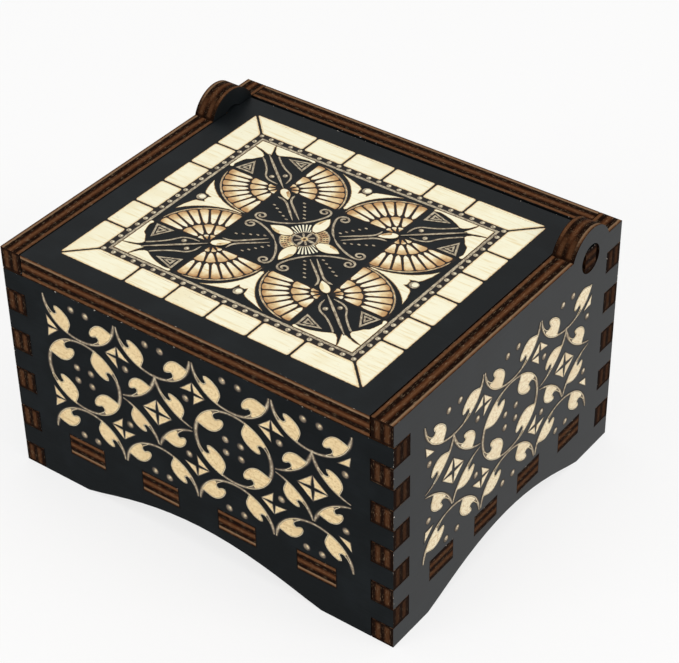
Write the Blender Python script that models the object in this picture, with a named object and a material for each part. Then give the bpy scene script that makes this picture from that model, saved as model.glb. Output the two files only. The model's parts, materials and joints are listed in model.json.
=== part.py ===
"""A small wooden music box and the spring-driven cylinder movement inside it.

The case is laser-cut plywood: four walls joined by fingers, a floor whose tabs go through
them, and a lid that turns on its own two tabs between ears on the side walls. The movement
stands on the floor, is wound by a key in a well underneath, and stops when the lid closes.
Metres, +Z up. The origin is on the table under the middle of the case, and the front faces -Y.
"""

import math

import bmesh
import bpy
from mathutils import Matrix, Vector

# The case
BOX_LENGTH = 0.069
BOX_DEPTH = 0.057
WALL_HEIGHT = 0.040
PLY = 0.00364
KERF = 0.00012
FINGERS = 11
FLOOR_UNDERSIDE = 0.00598
TABS = 4
FRONT_TAB_WIDTH = 0.0067
FRONT_TAB_PITCH = 0.01425
SIDE_TAB_WIDTH = 0.00575
SIDE_TAB_PITCH = 0.01125
FRONT_ARCH_SPAN = 0.044
FRONT_ARCH_RISE = 0.0042
SIDE_ARCH_SPAN = 0.040
SIDE_ARCH_RISE = 0.0045
ARCH_POWER = 1.2
ARCH_STEPS = 16

# The lid and its hinge
HINGE_FROM_BACK = 0.0085
EAR_RADIUS = 0.00515
HINGE_TAB_WIDTH = 0.0028
LID_SIDE_GAP = 0.0002
HEEL_CLEARANCE = 0.0002
HINGE_CLEARANCE = 0.00006

# Fits inside the movement
SEAT_GAP = 0.0001
RUNNING_GAP = 0.00006
PRESS_GAP = 0.00004
END_GAP = 0.0004
SHEET = 0.0012

# Bedplate and its posts
BED_THICKNESS = 0.002
BED_END_MARGIN = 0.003
BED_DEPTH = 0.040
BED_CORNER = 0.003
CYLINDER_AXIS_Y = 0.001
POST_THICKNESS = 0.0014
POST_HEAD_RADIUS = 0.0024
POST_FOOT_HALF = 0.0036

# Spring barrel, its crown wheel and the winding work
BARREL_TO_WALL = 0.004
CROWN_RADIUS = 0.0113
CROWN_FACE = 0.0016
CROWN_TEETH = 36
CROWN_HEIGHT = 0.0022
BARREL_SHELL = 0.0012
BARREL_FLOOR_GAP = 0.0006
COVER_THICKNESS = 0.0008
COVER_RECESS = 0.0005
COVER_DISH_INNER = 0.0034
COVER_DISH_OUTER = 0.0070
COVER_DISH_SLOPE = 0.0004
SPRING_TURNS = 6
SPRING_STRIP = 0.0003
WINDING_ARBOR_RADIUS = 0.0015
SPRING_CORE_RADIUS = 0.0022
BRIDGE_WIDTH = 0.0137
BRIDGE_LEG_GAP = 0.001
BRIDGE_FOOT = 0.004
RATCHET_TEETH = 16
RATCHET_RADIUS = 0.0046
RATCHET_TOOTH = 0.0008
RATCHET_THICKNESS = 0.0012
RATCHET_LEAN = math.radians(2)
CLICK_LIFT = 0.00012
CLICK_ANGLE = math.radians(115)
CLICK_SPRING_DROP = 0.0003
KEY_WELL_RADIUS = 0.0115
KEY_SPAN = 0.020
KEY_BOTTOM = 0.001
KEY_WING_HEIGHT = 0.0068
KEY_WING_THICKNESS = 0.0016
KEY_HUB_RADIUS = 0.0024
KEY_HUB_CHAMFER = 0.0005

# Cylinder, its pinion and its great wheel
NOTES = 18
CYLINDER_RADIUS = 0.0064
PIN_HEIGHT = 0.00075
PIN_RADIUS = 0.0002
PIN_TIP_RADIUS = 0.00014
PIN_SIDES = 4
PIN_STEPS = 36
CYLINDER_RIM = 0.0006
CYLINDER_BOSS_RADIUS = 0.0022
CYLINDER_RECESS = 0.0006
CYLINDER_CHAMFER = 0.0003
CYLINDER_ARBOR_RADIUS = 0.0009
PINION_TEETH = 11
WHEEL_MODULE = 0.0004
GREAT_WHEEL_TEETH = 36
GREAT_WHEEL_THICKNESS = 0.0014
GREAT_WHEEL_TO_LID = 0.001
SPOKES = 5
SPOKE_WIDTH = 0.0009
WHEEL_RIM = 0.0015
WHEEL_HUB_RADIUS = 0.0026

# Comb
COMB_THICKNESS = 0.0012
TOOTH_THICKNESS = 0.0007
COMB_SLOT = 0.00025
COMB_TIP_GAP = 0.00012
BASS_TOOTH_LENGTH = 0.0088
TREBLE_TOOTH_LENGTH = 0.0066
COMB_DEPTH = 0.0128
TOOTH_TAPER = 0.8
WEIGHTED_TEETH = 7
WEIGHT_STEP = 0.00023
WEIGHT_START = 0.0018
WEIGHT_LENGTH = 0.0026
WEIGHT_WIDTH = 0.0006

# Governor
GOVERNOR_TO_WALL = 0.0032
GOVERNOR_PLATE = 0.001
GOVERNOR_PINION_TEETH = 10
WORM_WHEEL_TEETH = 22
WORM_WHEEL_THICKNESS = 0.0012
GOVERNOR_DROP = math.radians(35)
WORM_PITCH_RADIUS = 0.0014
WORM_TURNS = 5
THREAD_SEAT = 0.0002
GOVERNOR_ARBOR_RADIUS = 0.0006
WORM_PIVOT_RADIUS = 0.0005
FLY_RADIUS = 0.0044
FLY_HEIGHT = 0.0022
FLY_BLADE = 0.0007
FLY_HUB_RADIUS = 0.001
BRAKE_RADIUS = 0.002
BRAKE_THICKNESS = 0.0008

# Stop lever
LEVER_THICKNESS = 0.001
LEVER_BOSS = 0.0016
LEVER_HEEL_RADIUS = 0.00145
LEVER_TIP_RADIUS = 0.0006
LEVER_LID_GAP = 0.0003
LEVER_BRAKE_GAP = 0.00015
LEVER_TIP_REACH = 0.0065
LEVER_PIVOT_DROP = 0.0045

# Screws
SCREW_RADIUS = 0.0008
SCREW_HEAD_RADIUS = 0.0015
SCREW_HEAD_HEIGHT = 0.0009
SCREW_SLOT = 0.0004
COMB_SCREW_LENGTH = 0.005

# Tooth shape, in modules and as a share of the pitch
PRESSURE_ANGLE = math.radians(20)
ADDENDUM = 0.8
DEDENDUM = 1.1
BACKLASH = 0.14

# How finely round things are cut
FINE = 32
ROUND = 20
COARSE = 12
TINY = 9

# Places that follow from the sizes above
ROOM_X = BOX_LENGTH / 2 - PLY
ROOM_Y = BOX_DEPTH / 2 - PLY
FLOOR_TOP = FLOOR_UNDERSIDE + PLY
LID_UNDERSIDE = WALL_HEIGHT - PLY
HINGE_Y = BOX_DEPTH / 2 - HINGE_FROM_BACK
HINGE_Z = WALL_HEIGHT - PLY / 2
HINGE_HOLE_RADIUS = math.hypot(PLY, HINGE_TAB_WIDTH) / 2 + HINGE_CLEARANCE
HEEL_RADIUS = ROOM_Y - HINGE_Y - HEEL_CLEARANCE
LID_SWEEP_BOTTOM = HINGE_Z - HEEL_RADIUS

BED_BOTTOM = FLOOR_TOP + SEAT_GAP
BED_TOP = BED_BOTTOM + BED_THICKNESS
BED_HALF_LENGTH = ROOM_X - BED_END_MARGIN

GREAT_WHEEL_PITCH_RADIUS = GREAT_WHEEL_TEETH * WHEEL_MODULE / 2
AXIS_Z = LID_UNDERSIDE - GREAT_WHEEL_TO_LID - GREAT_WHEEL_PITCH_RADIUS - ADDENDUM * WHEEL_MODULE

BARREL_X = -(ROOM_X - BARREL_TO_WALL - CROWN_RADIUS)
CROWN_PITCH_RADIUS = CROWN_RADIUS - CROWN_FACE / 2
CROWN_MODULE = 2 * CROWN_PITCH_RADIUS / CROWN_TEETH
PINION_PITCH_RADIUS = PINION_TEETH * CROWN_MODULE / 2
CROWN_PITCH_Z = AXIS_Z - PINION_PITCH_RADIUS
CROWN_ROOT_Z = CROWN_PITCH_Z - DEDENDUM * CROWN_MODULE
CROWN_TIP_Z = CROWN_PITCH_Z + ADDENDUM * CROWN_MODULE
CROWN_BOTTOM_Z = CROWN_ROOT_Z - CROWN_HEIGHT
BARREL_OUTER_RADIUS = CROWN_RADIUS - CROWN_FACE - PRESS_GAP
BARREL_INNER_RADIUS = BARREL_OUTER_RADIUS - BARREL_SHELL
BARREL_BOTTOM_Z = BED_TOP + BARREL_FLOOR_GAP
COVER_TOP_Z = CROWN_ROOT_Z - COVER_RECESS
COVER_BOTTOM_Z = COVER_TOP_Z - COVER_THICKNESS
BRIDGE_UNDERSIDE_Z = CROWN_TIP_Z + END_GAP
BRIDGE_TOP_Z = BRIDGE_UNDERSIDE_Z + SHEET
BRIDGE_LEG_Y = CROWN_RADIUS + BRIDGE_LEG_GAP
BRIDGE_LEFT_X = BARREL_X - BRIDGE_WIDTH / 2 + SHEET
BRIDGE_RIGHT_X = BRIDGE_LEFT_X + BRIDGE_WIDTH
RATCHET_BOTTOM_Z = BRIDGE_TOP_Z + END_GAP
RATCHET_TOP_Z = RATCHET_BOTTOM_Z + RATCHET_THICKNESS
WINDING_ARBOR_TOP_Z = RATCHET_TOP_Z + WINDING_ARBOR_RADIUS / 2
KEY_HUB_TOP_Z = BED_BOTTOM - END_GAP

GOVERNOR_RIGHT_X = ROOM_X - GOVERNOR_TO_WALL
WORM_TIP_RADIUS = WORM_PITCH_RADIUS + ADDENDUM * WHEEL_MODULE
WORM_X = GOVERNOR_RIGHT_X - GOVERNOR_PLATE - END_GAP - WORM_TIP_RADIUS
WORM_WHEEL_RIGHT_X = WORM_X + WORM_WHEEL_THICKNESS / 2
WORM_WHEEL_LEFT_X = WORM_X - WORM_WHEEL_THICKNESS / 2
POST_RIGHT_X = WORM_WHEEL_LEFT_X - END_GAP
POST_LEFT_X = POST_RIGHT_X - POST_THICKNESS
GREAT_WHEEL_RIGHT_X = POST_LEFT_X - END_GAP
GREAT_WHEEL_LEFT_X = GREAT_WHEEL_RIGHT_X - GREAT_WHEEL_THICKNESS
GOVERNOR_LEFT_X = GREAT_WHEEL_LEFT_X - END_GAP - GOVERNOR_PLATE
CYLINDER_RIGHT_X = GOVERNOR_LEFT_X - END_GAP
CYLINDER_LEFT_X = BARREL_X + CROWN_RADIUS + 2 * END_GAP
PIN_CIRCLE = CYLINDER_RADIUS + PIN_HEIGHT
COMB_PITCH = (CYLINDER_RIGHT_X - CYLINDER_LEFT_X - 2 * END_GAP) / (NOTES + 1)
COMB_LEFT_X = CYLINDER_LEFT_X + END_GAP + COMB_PITCH / 2
COMB_RIGHT_X = COMB_LEFT_X + NOTES * COMB_PITCH
COMB_TIP_Y = CYLINDER_AXIS_Y - PIN_CIRCLE - COMB_TIP_GAP
COMB_BACK_Y = COMB_TIP_Y - COMB_DEPTH
COMB_TOP_Z = AXIS_Z + TOOTH_THICKNESS / 2
COMB_SCREW_Y = (COMB_BACK_Y + COMB_TIP_Y - BASS_TOOTH_LENGTH) / 2

GOVERNOR_PINION_RADIUS = GOVERNOR_PINION_TEETH * WHEEL_MODULE / 2
GOVERNOR_DISTANCE = GREAT_WHEEL_PITCH_RADIUS + GOVERNOR_PINION_RADIUS
GOVERNOR_Y = CYLINDER_AXIS_Y + GOVERNOR_DISTANCE * math.cos(GOVERNOR_DROP)
GOVERNOR_Z = AXIS_Z - GOVERNOR_DISTANCE * math.sin(GOVERNOR_DROP)
WORM_WHEEL_RADIUS = WORM_WHEEL_TEETH * WHEEL_MODULE / 2
WORM_Y = GOVERNOR_Y + WORM_WHEEL_RADIUS + WORM_PITCH_RADIUS
WORM_LEAD = math.pi * WHEEL_MODULE
FLY_TOP_Z = LID_SWEEP_BOTTOM - END_GAP
FLY_BOTTOM_Z = FLY_TOP_Z - FLY_HEIGHT
BRAKE_TOP_Z = FLY_BOTTOM_Z - END_GAP
BRAKE_BOTTOM_Z = BRAKE_TOP_Z - BRAKE_THICKNESS
TOP_ARM_TOP_Z = BRAKE_BOTTOM_Z - END_GAP
TOP_ARM_BOTTOM_Z = TOP_ARM_TOP_Z - GOVERNOR_PLATE
GOVERNOR_FRONT_Y = GOVERNOR_Y - GOVERNOR_PINION_RADIUS
GOVERNOR_BACK_Y = WORM_Y + WORM_PITCH_RADIUS + BRAKE_RADIUS
FOOT_BOTTOM_Z = BED_TOP + SEAT_GAP
FOOT_TOP_Z = FOOT_BOTTOM_Z + GOVERNOR_PLATE

FINGER_Y_NEAR = WORM_Y + BRAKE_RADIUS + LEVER_BRAKE_GAP
LEVER_PIVOT_Y = FINGER_Y_NEAR + LEVER_THICKNESS / 2 - LEVER_BOSS / 4
LEVER_PIVOT_Z = BRAKE_BOTTOM_Z - LEVER_PIVOT_DROP
LEVER_RIGHT_X = GOVERNOR_LEFT_X - END_GAP
LEVER_LEFT_X = LEVER_RIGHT_X - LEVER_THICKNESS


def place(axis, across, up, along):
    """A point from coordinates square to an axis and along it."""
    if axis == "X":
        return Vector((along, across, up))
    if axis == "Y":
        return Vector((across, along, up))
    return Vector((across, up, along))


def add_object(name, form):
    """An object from a bmesh, with its faces turned outwards."""
    bmesh.ops.recalc_face_normals(form, faces=form.faces)
    mesh = bpy.data.meshes.new(name)
    form.to_mesh(mesh)
    form.free()
    thing = bpy.data.objects.new(name, mesh)
    bpy.context.scene.collection.objects.link(thing)
    return thing


def prism(name, outline, axis, low, high, twist=0.0, centre=(0.0, 0.0)):
    """A closed outline extruded along an axis; twist turns the far end about centre."""
    form = bmesh.new()
    face = form.faces.new([form.verts.new(place(axis, u, v, low)) for u, v in outline])
    swept = bmesh.ops.extrude_face_region(form, geom=[face])["geom"]
    far = [item for item in swept if isinstance(item, bmesh.types.BMVert)]
    bmesh.ops.translate(form, vec=place(axis, 0, 0, high - low), verts=far)
    if twist:
        turn = Matrix.Rotation(twist, 3, axis)
        bmesh.ops.rotate(form, cent=place(axis, *centre, high), matrix=turn, verts=far)
    return add_object(name, form)


def box(name, low, high):
    """A block between two corners."""
    outline = [(low[0], low[1]), (high[0], low[1]), (high[0], high[1]), (low[0], high[1])]
    return prism(name, outline, "Z", low[2], high[2])


def lathe(name, profile, axis, centre, sides):
    """A closed profile of (radius, height along the axis) turned about the axis."""
    form = bmesh.new()
    rings = []
    for radius, height in profile:
        steps = sides if radius > 0 else 1
        ring = []
        for step in range(steps):
            angle = 2 * math.pi * (step + 0.5) / sides
            across = centre[0] + radius * math.cos(angle)
            up = centre[1] + radius * math.sin(angle)
            ring.append(form.verts.new(place(axis, across, up, height)))
        rings.append(ring)
    for ring, following in zip(rings, rings[1:] + rings[:1]):
        for step in range(sides if len(ring) + len(following) > 2 else 0):
            ahead = (step + 1) % sides
            corners = [ring[step % len(ring)], ring[ahead % len(ring)]]
            corners += [following[ahead % len(following)], following[step % len(following)]]
            form.faces.new(list(dict.fromkeys(corners)))
    return add_object(name, form)


def rod(name, axis, centre, radius, low, high, sides=ROUND):
    """A plain round bar."""
    return lathe(name, [(0, low), (radius, low), (radius, high), (0, high)], axis, centre, sides)


def bore(axis, centre, radius, low, high, sides=ROUND):
    """A round cutter whose flats lie at the radius, so that the hole is never tight."""
    return rod("bore", axis, centre, radius / math.cos(math.pi / sides), low, high, sides)


def combine(operation, target, others):
    """Boolean the others into the target, apply the result and drop the others."""
    for other in others:
        modifier = target.modifiers.new(other.name, "BOOLEAN")
        modifier.operation = operation
        modifier.object = other
    graph = bpy.context.evaluated_depsgraph_get()
    mesh = bpy.data.meshes.new_from_object(target.evaluated_get(graph))
    target.modifiers.clear()
    target.data = mesh
    for other in others:
        bpy.data.objects.remove(other)
    return target


def cut(target, *cutters):
    """Take the cutters out of the target."""
    return combine("DIFFERENCE", target, cutters)


def weld(target, *additions):
    """Fuse the additions with the target."""
    return combine("UNION", target, additions)


def arc(centre, radius, start, end, steps):
    """Points along an arc, both ends included."""
    angles = [start + (end - start) * step / steps for step in range(steps + 1)]
    return [(centre[0] + radius * math.cos(a), centre[1] + radius * math.sin(a)) for a in angles]


def tapered_bar(start, start_radius, end, end_radius):
    """The outline of a bar with a round end at each of two points."""
    across, up = end[0] - start[0], end[1] - start[1]
    heading = math.atan2(up, across)
    lean = math.acos((start_radius - end_radius) / math.hypot(across, up))
    back = arc(start, start_radius, heading + lean, heading + 2 * math.pi - lean, COARSE // 2)
    return back + arc(end, end_radius, heading - lean, heading + lean, COARSE // 2)


def tab_centres(pitch):
    """The middles of the floor tabs along one side."""
    return [pitch * (index - (TABS - 1) / 2) for index in range(TABS)]


def finger_edge(reach, owns_even, top):
    """Points up a wall's right-hand edge. Each finger is half a saw gap short at its neighbours."""
    step = WALL_HEIGHT / FINGERS
    notch = reach - PLY - KERF
    edge = [(reach if owns_even else notch, 0.0)]
    for index in range(1, FINGERS):
        leaves_finger = (index % 2 == 1) == owns_even
        height = index * step + (-KERF / 2 if leaves_finger else KERF / 2)
        if height < top:
            edge += [(reach if leaves_finger else notch, height)]
            edge += [(notch if leaves_finger else reach, height)]
    return edge + [(edge[-1][0], top)]


def arch(span, rise):
    """The arch under a wall, from left to right, between its two feet."""
    half = span / 2
    points = []
    for step in range(ARCH_STEPS + 1):
        along = -half + span * step / ARCH_STEPS
        share = max(0.0, 1 - (along / half) ** 2)
        points.append((along, rise * share ** ARCH_POWER))
    return points


def wall_outline(reach, owns_even, top, crest, span, rise):
    """A wall seen square on: its arch, a fingered edge, its crest and the other edge."""
    edge = finger_edge(reach, owns_even, top)
    return arch(span, rise) + edge + crest + [(-across, up) for across, up in reversed(edge)]


def tab_slots(axis, pitch, width, low, high):
    """The holes that the floor's tabs go through."""
    bottom = FLOOR_UNDERSIDE - KERF / 2
    top = FLOOR_TOP + KERF / 2
    half = width / 2 + KERF / 2
    slots = []
    for middle in tab_centres(pitch):
        outline = [(middle - half, bottom), (middle + half, bottom)]
        outline += [(middle + half, top), (middle - half, top)]
        slots.append(prism("slot", outline, axis, low, high))
    return slots


def long_wall(name, outer_y, top):
    """The front or the back wall, which owns the odd fingers."""
    inner_y = outer_y - math.copysign(PLY, outer_y)
    outline = wall_outline(BOX_LENGTH / 2, False, top, [], FRONT_ARCH_SPAN, FRONT_ARCH_RISE)
    wall = prism(name, outline, "Y", outer_y, inner_y)
    over = math.copysign(PLY, outer_y)
    slots = tab_slots("Y", FRONT_TAB_PITCH, FRONT_TAB_WIDTH, inner_y - over, outer_y + over)
    return cut(wall, *slots)


def side_wall(name, outer_x):
    """The left or the right wall, which owns the even fingers and carries a hinge ear."""
    inner_x = outer_x - math.copysign(PLY, outer_x)
    rise = WALL_HEIGHT - HINGE_Z
    start = math.asin(rise / EAR_RADIUS)
    ear = arc((HINGE_Y, HINGE_Z), EAR_RADIUS, start, math.pi - start, ROUND)
    outline = wall_outline(BOX_DEPTH / 2, True, WALL_HEIGHT, ear, SIDE_ARCH_SPAN, SIDE_ARCH_RISE)
    wall = prism(name, outline, "X", outer_x, inner_x)
    over = math.copysign(PLY, outer_x)
    slots = tab_slots("X", SIDE_TAB_PITCH, SIDE_TAB_WIDTH, inner_x - over, outer_x + over)
    hole = bore("X", (HINGE_Y, HINGE_Z), HINGE_HOLE_RADIUS, inner_x - over, outer_x + over, FINE)
    return cut(wall, hole, *slots)


def tabbed_edge(half_run, base, tip, pitch, width):
    """One edge of the floor as (run, reach) points: tabs stand out from base to tip."""
    edge = [(-half_run, base)]
    for middle in tab_centres(pitch):
        left, right = middle - width / 2, middle + width / 2
        edge += [(left, base), (left, tip), (right, tip), (right, base)]
    return edge


def bed_screw_places():
    """Where the three screws come up through the floor into the bedplate."""
    inset = 2 * SCREW_HEAD_RADIUS
    far_x = BED_HALF_LENGTH - inset
    far_y = BED_DEPTH / 2 - inset
    return [(-far_x, -far_y), (far_x, -far_y), ((CYLINDER_LEFT_X + CYLINDER_RIGHT_X) / 2, far_y)]


def floor_panel():
    """The floor, with four tabs a side, the key's well and the bedplate's screw holes."""
    half_x, half_y = ROOM_X - KERF, ROOM_Y - KERF
    long_edge = tabbed_edge(half_x, half_y, BOX_DEPTH / 2, FRONT_TAB_PITCH, FRONT_TAB_WIDTH)
    short_edge = tabbed_edge(half_y, half_x, BOX_LENGTH / 2, SIDE_TAB_PITCH, SIDE_TAB_WIDTH)
    outline = [(run, -reach) for run, reach in long_edge]
    outline += [(reach, run) for run, reach in short_edge]
    outline += [(-run, reach) for run, reach in long_edge]
    outline += [(-reach, -run) for run, reach in short_edge]
    panel = prism("floor_panel", outline, "Z", FLOOR_UNDERSIDE, FLOOR_TOP)
    low, high = FLOOR_UNDERSIDE - PLY, FLOOR_TOP + PLY
    holes = [bore("Z", (BARREL_X, CYLINDER_AXIS_Y), KEY_WELL_RADIUS, low, high, FINE)]
    for spot in bed_screw_places():
        holes.append(bore("Z", spot, SCREW_RADIUS + RUNNING_GAP, low, high, COARSE))
    return cut(panel, *holes)


def lid():
    """The lid: one board that turns on two tabs of its own, with a heel behind them."""
    half = ROOM_X - LID_SIDE_GAP
    heel_y = HINGE_Y + math.sqrt(HEEL_RADIUS ** 2 - (PLY / 2) ** 2)
    tab_front, tab_back = HINGE_Y - HINGE_TAB_WIDTH / 2, HINGE_Y + HINGE_TAB_WIDTH / 2
    right = [(half, -BOX_DEPTH / 2), (half, tab_front), (BOX_LENGTH / 2, tab_front)]
    right += [(BOX_LENGTH / 2, tab_back), (half, tab_back), (half, heel_y)]
    outline = right + [(-x, y) for x, y in reversed(right)]
    return prism("lid", outline, "Z", LID_UNDERSIDE, WALL_HEIGHT)


def screw(name, spot, seat_z, end_z, head_up=True):
    """A cheese-head screw whose head stands on seat_z and whose shank ends at end_z."""
    way = 1 if head_up else -1
    under = seat_z + way * SEAT_GAP
    crown = under + way * SCREW_HEAD_HEIGHT
    shank, head = SCREW_RADIUS, SCREW_HEAD_RADIUS
    profile = [(0, end_z), (shank, end_z), (shank, under), (head, under), (head, crown), (0, crown)]
    body = lathe(name, profile, "Z", spot, TINY)
    depths = sorted([crown - way * SCREW_HEAD_HEIGHT / 2, crown + way * SCREW_HEAD_HEIGHT])
    low = (spot[0] - 2 * head, spot[1] - SCREW_SLOT / 2, depths[0])
    high = (spot[0] + 2 * head, spot[1] + SCREW_SLOT / 2, depths[1])
    return cut(body, box("slot", low, high))


def screw_hole(spot, low, high):
    """A cutter that clears a screw's shank."""
    return bore("Z", spot, SCREW_RADIUS + PRESS_GAP, low, high, TINY)


def bridge_screw_places():
    """One screw through each foot of the barrel bridge."""
    middle_x = (BRIDGE_LEFT_X + BRIDGE_RIGHT_X) / 2
    reach = BRIDGE_LEG_Y + SHEET + BRIDGE_FOOT / 2
    return [(middle_x, CYLINDER_AXIS_Y - reach), (middle_x, CYLINDER_AXIS_Y + reach)]


def governor_screw_places():
    """Two screws inside the governor frame's foot, clear of the worm."""
    x = GOVERNOR_LEFT_X + GOVERNOR_PLATE + END_GAP + SCREW_HEAD_RADIUS
    return [(x, GOVERNOR_FRONT_Y + SCREW_HEAD_RADIUS), (x, GOVERNOR_BACK_Y - SCREW_HEAD_RADIUS)]


def comb_screw_places():
    """Two screws hold the comb down."""
    middle = (COMB_LEFT_X + COMB_RIGHT_X) / 2
    quarter = (COMB_RIGHT_X - COMB_LEFT_X) / 4
    return [(middle - quarter, COMB_SCREW_Y), (middle + quarter, COMB_SCREW_Y)]


def rounded_rectangle(half_x, half_y, radius):
    """A rectangle about the origin with round corners."""
    outline = []
    for quarter, (side_x, side_y) in enumerate([(1, 1), (-1, 1), (-1, -1), (1, -1)]):
        centre = (side_x * (half_x - radius), side_y * (half_y - radius))
        start = quarter * math.pi / 2
        outline += arc(centre, radius, start, start + math.pi / 2, 4)
    return outline


def comb_pedestal():
    """The cast block under the comb, open through its middle like a bench."""
    top = COMB_TOP_Z - COMB_THICKNESS - SEAT_GAP
    left, right = COMB_LEFT_X - COMB_PITCH, COMB_RIGHT_X + COMB_PITCH
    front, back = COMB_BACK_Y, COMB_TIP_Y - BASS_TOOTH_LENGTH
    block = box("pedestal", (left, front, BED_TOP - BED_THICKNESS / 2), (right, back, top))
    sill = BED_TOP + BED_THICKNESS / 2
    lintel = top - COMB_SCREW_LENGTH - SHEET
    leg = (right - left) / 5
    window = [(left + leg, sill), (right - leg, sill), (right - leg - SHEET, lintel)]
    window += [(left + leg + SHEET, lintel)]
    return cut(block, prism("window", window, "Y", front - PLY, back + PLY))


def cylinder_post():
    """The cast post that carries the right end of the cylinder's arbor."""
    foot_z = BED_TOP - BED_THICKNESS / 2
    head = arc((CYLINDER_AXIS_Y, AXIS_Z), POST_HEAD_RADIUS, 0, math.pi, COARSE)
    outline = [(CYLINDER_AXIS_Y - POST_FOOT_HALF, foot_z), (CYLINDER_AXIS_Y + POST_FOOT_HALF, foot_z)]
    return prism("post", outline + head, "X", POST_LEFT_X, POST_RIGHT_X)


def bedplate():
    """The cast bedplate with the comb's pedestal and the cylinder's post on it."""
    plate = rounded_rectangle(BED_HALF_LENGTH, BED_DEPTH / 2, BED_CORNER)
    bed = prism("bedplate", plate, "Z", BED_BOTTOM, BED_TOP)
    weld(bed, comb_pedestal(), cylinder_post())
    low, high = BED_BOTTOM - BED_THICKNESS, BED_TOP + BED_THICKNESS
    arbor_hole = WINDING_ARBOR_RADIUS + RUNNING_GAP
    holes = [bore("Z", (BARREL_X, CYLINDER_AXIS_Y), arbor_hole, low, high)]
    spots = bed_screw_places() + bridge_screw_places() + governor_screw_places()
    holes += [screw_hole(spot, low, high) for spot in spots]
    comb_hole_z = COMB_TOP_Z - COMB_THICKNESS - COMB_SCREW_LENGTH - SEAT_GAP
    holes += [screw_hole(spot, comb_hole_z, COMB_TOP_Z) for spot in comb_screw_places()]
    axis_hole = CYLINDER_ARBOR_RADIUS + RUNNING_GAP
    low, high = POST_LEFT_X - POST_THICKNESS, POST_RIGHT_X + POST_THICKNESS
    holes.append(bore("X", (CYLINDER_AXIS_Y, AXIS_Z), axis_hole, low, high))
    return cut(bed, *holes)


def barrel_bridge():
    """The sheet bridge over the barrel, with an ear that carries the cylinder's arbor."""
    top, under = BRIDGE_TOP_Z, BRIDGE_UNDERSIDE_Z
    inner, outer = BRIDGE_LEG_Y, BRIDGE_LEG_Y + SHEET
    toe = outer + BRIDGE_FOOT
    sole = BED_TOP + SEAT_GAP
    foot = sole + SHEET
    bend = SHEET / 2
    half = [(toe, sole), (toe, foot), (outer, foot), (outer, top - bend), (outer - bend, top)]
    inside = [(inner, under), (inner, sole)]
    outline = half + [(-y, z) for y, z in reversed(half)]
    outline += [(-y, z) for y, z in reversed(inside)] + inside
    outline = [(CYLINDER_AXIS_Y + y, z) for y, z in outline]
    bridge = prism("barrel_bridge", outline, "X", BRIDGE_LEFT_X, BRIDGE_RIGHT_X)
    ear_left = BRIDGE_RIGHT_X - SHEET
    ear = arc((CYLINDER_AXIS_Y, AXIS_Z), POST_HEAD_RADIUS, 0, math.pi, COARSE)
    ear += [(CYLINDER_AXIS_Y - POST_FOOT_HALF, under + SHEET / 2)]
    ear += [(CYLINDER_AXIS_Y + POST_FOOT_HALF, under + SHEET / 2)]
    weld(bridge, prism("ear", ear, "X", ear_left, BRIDGE_RIGHT_X))
    axis_hole = CYLINDER_ARBOR_RADIUS + RUNNING_GAP
    low, high = ear_left - SHEET, BRIDGE_RIGHT_X + SHEET
    holes = [bore("X", (CYLINDER_AXIS_Y, AXIS_Z), axis_hole, low, high)]
    arbor_hole = WINDING_ARBOR_RADIUS + RUNNING_GAP
    low, high = under - SHEET, top + SHEET
    holes.append(bore("Z", (BARREL_X, CYLINDER_AXIS_Y), arbor_hole, low, high))
    holes += [screw_hole(spot, low, high) for spot in (click_pivot(), click_spring_foot())]
    for spot in bridge_screw_places():
        holes.append(screw_hole(spot, sole - SHEET, foot + SHEET))
    return cut(bridge, *holes)


def click_pivot():
    """The click turns on a screw behind the ratchet wheel."""
    return (BARREL_X + RATCHET_RADIUS / 2, CYLINDER_AXIS_Y + 2 * RATCHET_RADIUS - SHEET)


def click_tip():
    """Where the click's nose meets the ratchet wheel, lifted just clear of its teeth."""
    reach = RATCHET_RADIUS + CLICK_LIFT + SPRING_STRIP
    return (BARREL_X + reach * math.cos(CLICK_ANGLE), CYLINDER_AXIS_Y + reach * math.sin(CLICK_ANGLE))


def click_spring_foot():
    """The screw that holds the click's leaf spring, at the left end of the bridge."""
    return (BRIDGE_LEFT_X + 2 * SHEET, click_pivot()[1] + SHEET)


def click():
    """The click that lets the ratchet wheel turn one way."""
    outline = tapered_bar(click_pivot(), SCREW_HEAD_RADIUS, click_tip(), SPRING_STRIP)
    low = BRIDGE_TOP_Z + SEAT_GAP
    pawl = prism("click", outline, "Z", low, RATCHET_TOP_Z)
    return cut(pawl, screw_hole(click_pivot(), low - SHEET, RATCHET_TOP_Z + SHEET))


def click_spring():
    """A leaf spring that bears on the back of the click."""
    foot = click_spring_foot()
    low = BRIDGE_TOP_Z + SEAT_GAP
    high = RATCHET_TOP_Z - CLICK_SPRING_DROP
    circle = arc(foot, SCREW_HEAD_RADIUS, 0, 2 * math.pi, COARSE)[:-1]
    eye = prism("click_spring", circle, "Z", low, high)
    pivot, tip = click_pivot(), click_tip()
    heading = math.atan2(tip[1] - pivot[1], tip[0] - pivot[0])
    back = (SCREW_HEAD_RADIUS + SPRING_STRIP) / 2 + SPRING_STRIP
    middle = ((pivot[0] + tip[0]) / 2, (pivot[1] + tip[1]) / 2)
    rest = (middle[0] + back * math.sin(heading), middle[1] - back * math.cos(heading))
    leaf = tapered_bar(foot, SPRING_STRIP, rest, SPRING_STRIP / 2)
    weld(eye, prism("leaf", leaf, "Z", low, high))
    return cut(eye, screw_hole(foot, low - SHEET, high + SHEET))


def involute(angle):
    """The involute function."""
    return math.tan(angle) - angle


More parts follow.
